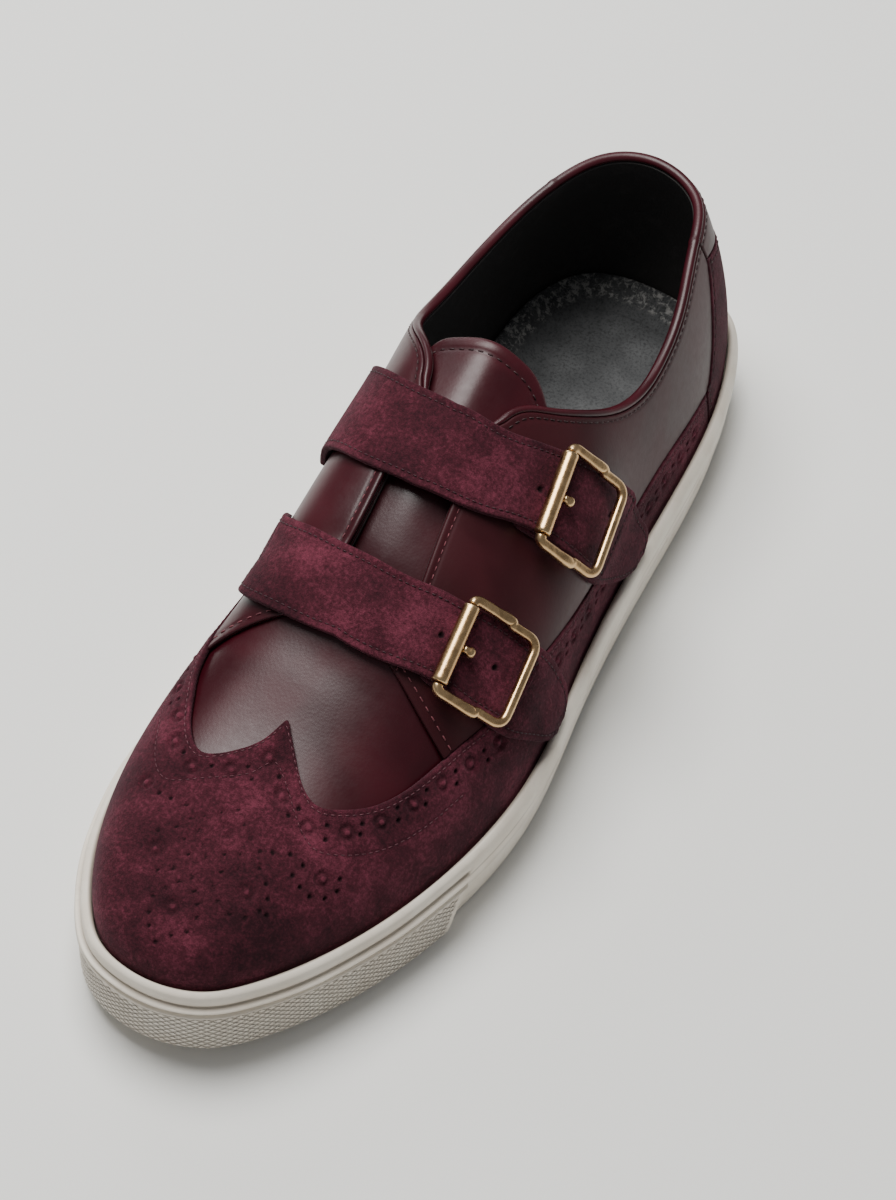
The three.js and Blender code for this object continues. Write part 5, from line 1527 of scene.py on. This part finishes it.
def buckle(suffix, place):
    strap_face = STRAP_HIGH + STRAP_THICK
    a, b = on_face(place["roller"], strap_face + ROLLER_GAP + ROLLER_RADIUS)
    c, d = on_face(place["outer"], strap_face + place["lift"] + BAR_RADIUS)
    middle = (a + b) / 2
    e2 = unit(b - a)
    reach = (c + d) / 2 - middle
    straight = reach - e2 * np.dot(reach, e2)
    long = np.linalg.norm(straight)
    e1 = unit(straight)
    e3 = np.cross(e1, e2)
    e3 = -e3 if e3[0] < 0 else e3
    half = np.linalg.norm(b - a) / 2 + ROLLER_REACH

    def spot(u, v, w):
        """Point ahead of the roller's axis (u), along it (v) and off the strap (w)."""
        return middle + e1 * u[..., None] + e2 * v[..., None] + e3 * w[..., None]

    # Roller: a sheet tube with round ends
    turn = circle(40)
    flat = np.ones(40)
    body = half - ROLLER_PLAY
    profile = [(v - body, r) for v, r in ROLLER_ENDS]
    profile += [(v, ROLLER_RADIUS) for v in np.linspace(-body + 1.2, body - 1.2, 12)]
    profile += [(body - v, r) for v, r in ROLLER_ENDS[::-1]]

    def disc(i):
        v, r = profile[i]
        return spot(r * np.cos(turn), flat * v, r * np.sin(turn))

    brass_piece(f"roller_{suffix}", len(profile), disc)

    path = frame_line(half, long)
    after = np.roll(path, -1, axis=0)
    before = np.roll(path, 1, axis=0)
    after[-1], before[0] = path[-1], path[0]
    ahead = unit(after - before)
    across = np.stack([-ahead[:, 1], ahead[:, 0]], -1)
    # The cast bar is thickest at the step
    step = long * FRAME_STEP
    fat = 1 + 0.16 * bell(path[:, 0] - step + 1.5, 2.2)
    fat = fat * mix(1.0, 0.93, smooth(path[:, 0], step, step + 2))
    small = circle(20)

    def squared(wave):
        return np.sign(wave) * np.abs(wave) ** BAR_SQUARE * BAR_RADIUS

    def bar(i):
        wide = squared(np.cos(small)) * fat[i]
        x, y = path[i, :, None] + across[i, :, None] * wide
        return spot(x, y, squared(np.sin(small)) * fat[i])

    brass_piece(f"frame_{suffix}", len(path), bar)

    def knob(i):
        u, r = PRONG[i]
        return spot(flat * u, r * np.cos(turn), PRONG_RISE + r * np.sin(turn))

    brass_piece(f"prong_{suffix}", len(PRONG), knob)


for suffix, place in BUCKLES.items():
    buckle(suffix, place)


# Cup sole

# Station where the toe bumper starts at the ground, and how much sooner it does at the top
BUMPER_START = 0.69
BUMPER_SLANT = 0.034

# Wall from the ground up: inward from the outline behind the bumper, the same on the bumper, height
WALL_PROFILE = [
    (3.0, 0.6, 0.0), (1.7, -1.1, 1.4), (0.75, -1.1, 12.3), (0.15, -1.05, 13.0), (0.65, -1.0, 13.7),
    (0.4, -0.9, 17.4), (0.5, 0.5, 18.4), (0.0, 0.0, 19.4), (0.0, 0.0, 22.6), (0.4, 0.4, 24.7),
    (1.2, 1.2, 25.7), (1.9, 1.9, 26.0),
]


# Heights of that profile, and where they come to lie on the bumper; then its two beads
BUMPER_RISE = [(0, 1.4, 13.7, 17.4, 18.4, 19.4, 22.6, 26.0), (0, 1.4, 16.9, 20.4, 21.1, 21.8, 23.7, 26.0)]
BEADS, BEAD_HIGH, BEAD_WIDE = (17.9, 20.2), 0.85, 0.45
BEAD_VALLEY, VALLEY_DEEP = 19.05, 0.55
# Height where the knurled panel ends
PANEL_TOP = 16.9
# Height of the brim above the seat's edge, and the pitch of columns: sides, toe, bumper's ends
BRIM_HIGH = 25.5
SIDE_PITCH, TOE_PITCH, END_PITCH = 2.0, 0.56, 0.3
ROW_PITCH = 0.33
# Tread: zigzag grooves with their pitch along the shoe, pitch and slope of the zigzag, depth
TREAD_PITCH, ZIGZAG_PITCH, ZIGZAG_SLOPE, TREAD_DEPTH = 7.0, 12.0, 2.4, 0.9
ARCH_HIGH, ARCH_REAR, ARCH_FRONT = 1.6, (58, 84), (-136, -108)
HEEL_BEVEL, BEVEL_START = 1.4, 30


def underside_at(y):
    arch = ARCH_HIGH * smooth(-y, *ARCH_REAR) * smooth(y, *ARCH_FRONT)
    return spring_at(y) + arch + HEEL_BEVEL * smooth(y, BEVEL_START, HEEL_BACK)


def sole_turns():
    half = np.linspace(0, 1, TURN_SAMPLES)
    toe = smooth(half, BUMPER_START - 0.06, BUMPER_START - 0.04)
    ends = (half - BUMPER_START + BUMPER_SLANT / 2) / (0.6 * BUMPER_SLANT)
    pitch = mix(mix(SIDE_PITCH, TOE_PITCH, toe), END_PITCH, np.exp(-(ends**4)))
    one = paced(half, 0.0, pitch, 2)
    return np.concatenate([one, 2 - one[-2:0:-1]])


def softened(knots, counts, rounds):
    """Rows between knots, so many to each gap, with their corners eased."""
    knots = np.array(knots, float)
    rows = [mix(a, b, k / n) for a, b, n in zip(knots[:-1], knots[1:], counts) for k in range(n)]
    rows = np.array([*rows, knots[-1]])
    for _ in range(rounds):
        rows[1:-1] = (rows[:-2] + 2 * rows[1:-1] + rows[2:]) / 4
    return rows


def wall_rows():
    steps = np.abs(np.diff(np.array(WALL_PROFILE), axis=0))
    longest = np.hypot(np.maximum(steps[:, 0], steps[:, 1]), steps[:, 2])
    return softened(WALL_PROFILE, [max(2, round(long / ROW_PITCH)) for long in longest], 3)


def fill_between(points, row, count, depth, cols, level, base=0):
    """Faces closing the two sides of a ring of columns, row by row from heel to toe."""
    half = count // 2
    extra, lines, faces = [], [], []
    for i in range(half + 1):
        left = i * depth + row
        if i in (0, half):
            lines.append([left])
            continue
        right = (count - i) * depth + row
        first = len(points) + base + len(extra)
        extra += [mix(points[left], points[right], c / cols) for c in range(1, cols)]
        lines.append([left, *range(first, first + cols - 1), right])
    extra = np.array(extra)
    extra[:, 2] = level(extra[:, 0], extra[:, 1])
    for a, b in zip(lines[:-1], lines[1:]):
        for c in range(cols):
            (a0, a1), (b0, b1) = ([line[min(k, len(line) - 1)] for k in (c, c + 1)] for line in (a, b))
            quad = [a0, b0, b1, a1]
            kept = [v for k, v in enumerate(quad) if v != quad[k - 1]]
            if len(kept) > 2:
                faces.append(kept)
    return extra, faces


def closed_ring(ring, below, above):
    """Solid from a ring of columns; below and above give the cells across and the level."""
    count, depth = ring.shape[:2]
    points = ring.reshape(-1, 3)
    faces = loop_faces(count, depth)
    under, closed = fill_between(points, 0, count, depth, *below)
    faces += [f[::-1] for f in closed]
    top, closed = fill_between(points, depth - 1, count, depth, *above, len(under))
    points = np.concatenate([points, under, top])
    return points, fix_winding(points, faces + closed)


def tread(x, y):
    rim = np.sqrt(np.clip(1 - ((x + 1) / 46.0) ** 2, 0, 1))
    zigzag = ZIGZAG_SLOPE * np.abs(np.mod(x, ZIGZAG_PITCH) - ZIGZAG_PITCH / 2)
    wave = np.abs(np.mod(y + zigzag, TREAD_PITCH) - TREAD_PITCH / 2)
    return underside_at(y) + TREAD_DEPTH * (1 - smooth(wave, 0.5, 1.1)) * smooth(rim, 0.3, 0.5)


def cup_sole():
    turns = sole_turns()
    folded = np.minimum(turns, 2 - turns)[:, None]
    side_out, bumper_out, level = wall_rows().T[:, None]
    start = BUMPER_START - BUMPER_SLANT * level / WALL
    proud = smooth(folded, start - 0.003, start + 0.001)
    out = mix(side_out, bumper_out, proud)
    height = mix(level, np.interp(level, *BUMPER_RISE), proud)
    px, py, _, _ = outline_at(turns, 0.0)
    run = path_lengths(np.stack([px, py], -1))[:, None]

    # Panel of knurled diamonds with two thin beads above it
    inside = smooth(folded, start + 0.006, start + 0.008)
    inside = inside * smooth(height, 0.5, 1.3) * (1 - smooth(height, PANEL_TOP, PANEL_TOP + 0.5))
    slopes = [run / KNURL_WIDE + way * height / KNURL_TALL for way in (-1, 1)]
    furrows = sum(0.25 + 0.25 * np.cos(2 * np.pi * slope) for slope in slopes)
    beads = proud * sum(BEAD_HIGH * bell(height - z, BEAD_WIDE) for z in BEADS)
    out = out + KNURL_DEEP * (furrows - 0.4) * inside - beads
    out = out + VALLEY_DEEP * proud * bell(height - BEAD_VALLEY, 0.5)
    # Slight unevenness of a hand-laid band
    wave = 0.12 * np.sin(run / 13.0) + 0.08 * np.sin(run / 5.1 + 1.0)
    out = out + smooth(height, 19, 20) * wave

    fx, fy, _, _ = outline_at(turns[:, None], out)
    lift = np.where(height < 2, underside_at(fy), spring_at(fy) * (1 - 0.1 * height / WALL))
    ring = np.stack([fx, fy, height + lift], -1)
    # The brim leans in with the upper; the seat lies inside it
    lean = np.maximum(lean_of(turns), 0)
    bx, by, _, _ = outline_at(turns, LIP - lean * 3.5)
    brim = np.stack([bx, by, BRIM_HIGH + spring_at(by) * 0.9], -1)
    ix, iy, _, _ = outline_at(turns, LIP)
    inner = np.stack([ix, iy, FOOT_LEVEL + spring_at(iy)], -1)
    seat = np.stack([ix, iy, seat_at(iy)], -1)
    ring = np.concatenate([ring, brim[:, None], inner[:, None], seat[:, None]], axis=1)
    points, faces = closed_ring(ring, (44, tread), (4, lambda x, y: seat_at(y)))

    # Painted shade darkens the groove above the wall, the undercut at the ground and the lines between the
    # beads, less on the bead tops, with a light even darkening of the bumper; painted shade also fills the
    # brim under the edge of the upper
    groove_and_ground_shade = bell(level - 18.2, 0.7) + 0.6 * bell(level - 1.0, 1.4)
    lines = sum(bell(height - z, 0.5) for z in (17.0, BEAD_VALLEY, 21.2))
    painted_shade = np.clip(groove_and_ground_shade * (1 - 0.6 * proud) + proud * (0.12 + 0.7 * lines) - beads, 0, 1)
    values = {}
    for key, grid in {"grime_and_shade": painted_shade, "run": run, "level": height, "knurled": inside}.items():
        wall = np.pad(np.broadcast_to(grid, height.shape), ((0, 0), (0, 3)))
        wall[:, -3] = key == "grime_and_shade"
        values[key] = np.concatenate([wall.ravel(), np.zeros(len(points) - wall.size)])
    add_piece("cup_sole_rubber", points, faces, RUBBER, ["cupsole"], values)


cup_sole()


# Footbed

# Section of the rim from below: inward from the edge, height, extra height round the heel
RIMS = [
    (0.6, 0.3, 0.0), (0.0, 2.0, 0.0), (-0.3, 3.6, 5.4), (1.2, 4.2, 6.6), (3.6, 4.2, 4.8), (7.0, 4.2, 1.6),
    (11.0, 4.2, 0.4),
]


# Heel end of the footbed: where its rim rises, and the stitched oval with its shallow dish
RIM_RISE = (-58, -20)
BED_HIGH = RIMS[-1][1]
OVAL_AT, OVAL_SIZE = (2, -4), (25.0, 38.0)
OVAL_DEEP = 0.5


def footbed_top(x, y):
    oval = np.hypot((x - OVAL_AT[0]) / OVAL_SIZE[0], (y - OVAL_AT[1]) / OVAL_SIZE[1])
    sunk = OVAL_DEEP * (bell(oval - 1, 0.028) + 1 - smooth(oval, 0.2, 1.0))
    return seat_at(y) + BED_HIGH + RIMS[-1][2] * smooth(y, *RIM_RISE) - sunk


def footbed():
    turns = grid_turns(1.5, 3.0)[:-1]
    turns = np.concatenate([turns[turns < 0.9999], [1.0]])
    turns = np.concatenate([turns, 2 - turns[-2:0:-1]])
    inset, high, raised = softened(RIMS, [5] * (len(RIMS) - 1), 2).T[:, None]
    px, py, _, _ = outline_at(turns[:, None], FOOT_INSET - LINING_IN + 0.4 + inset)
    ring = np.stack([px, py, seat_at(py) + high + raised * smooth(py, *RIM_RISE)], -1)
    points, faces = closed_ring(ring, (4, lambda x, y: seat_at(y) + SEAT_GAP), (60, footbed_top))
    rim = smooth(high, 2.5, 4.0) * (1 - smooth(inset, 5.0, 9.0)) * smooth(py, -30, 0)
    values = {"rim": np.concatenate([rim.ravel(), np.zeros(len(points) - rim.size)])}
    add_piece("footbed", points, faces, FOOTBED, ["insole"], values)


footbed()
pink_threads.build("stitching_leather", THREAD, "plum_leather")
wing_threads.build("stitching_wing", THREAD_WING, "plum_suede")
strap_threads.build("stitching_strap", THREAD_STRAP, "plum_suede")
dark_threads.build("stitching_dark", THREAD_DARK, "plum_leather")


# Floor, light and camera


def floor(size=3.0):
    mesh = bpy.data.meshes.new("floor")
    corners = [(x * size, y * size, 0) for x, y in ((-1, -1), (1, -1), (1, 1), (-1, 1))]
    mesh.from_pydata(corners, [], [[0, 1, 2, 3]])
    s = Shader("pale_floor")
    mesh.materials.append(s.set(Base_Color=srgb(242, 242, 239), Roughness=0.85, Specular_IOR_Level=0.3))
    link("floor", mesh)


def aimed(piece, target, roll=0.0):
    direction = Vector(target) - piece.location
    turned = direction.to_track_quat("-Z", "Y")
    piece.rotation_mode = "QUATERNION"
    piece.rotation_quaternion = turned @ Euler((0, 0, math.radians(roll))).to_quaternion()


def area_light(name, place, target, size, power, color):
    light = bpy.data.lights.new(name, "AREA")
    light.shape, light.size, light.energy, light.color = "DISK", size, power, color
    piece = link(name, light)
    piece.location = place
    aimed(piece, target)


def world(color, strength):
    scene_world = bpy.data.worlds.new("soft_room")
    scene_world.use_nodes = True
    background = scene_world.node_tree.nodes["Background"]
    background.inputs["Color"].default_value = color
    background.inputs["Strength"].default_value = strength
    bpy.context.scene.world = scene_world


CAMERA_AT = (0.23315, -0.64698, 0.80903)
CAMERA_AIM = (0.0035, -0.108, 0.030)
CAMERA_ROLL = 4.6
CAMERA_LENS = 104.0
# Sizes in metres, powers in watts
KEY_SIZE, KEY_POWER = 0.9, 28.5
WINDOW_SIZE, WINDOW_POWER = 0.8, 5.5
ROOM_STRENGTH = 0.24


def camera():
    lens = bpy.data.cameras.new("camera")
    lens.sensor_fit, lens.sensor_width, lens.lens = "AUTO", 36.0, CAMERA_LENS
    lens.clip_start, lens.clip_end = 0.05, 20.0
    piece = link("camera", lens)
    piece.location = CAMERA_AT
    aimed(piece, CAMERA_AIM, CAMERA_ROLL)
    bpy.context.scene.camera = piece


floor()
area_light("key", (-0.36, 0.05, 1.3), (0.0, -0.1, 0.0), KEY_SIZE, KEY_POWER, (1.0, 0.985, 0.96))
area_light("window", (-1.1, 0.95, 0.95), (0.0, -0.1, 0.03), WINDOW_SIZE, WINDOW_POWER, (0.97, 0.98, 1.0))
world((0.95, 0.97, 1.0, 1.0), ROOM_STRENGTH)
camera()
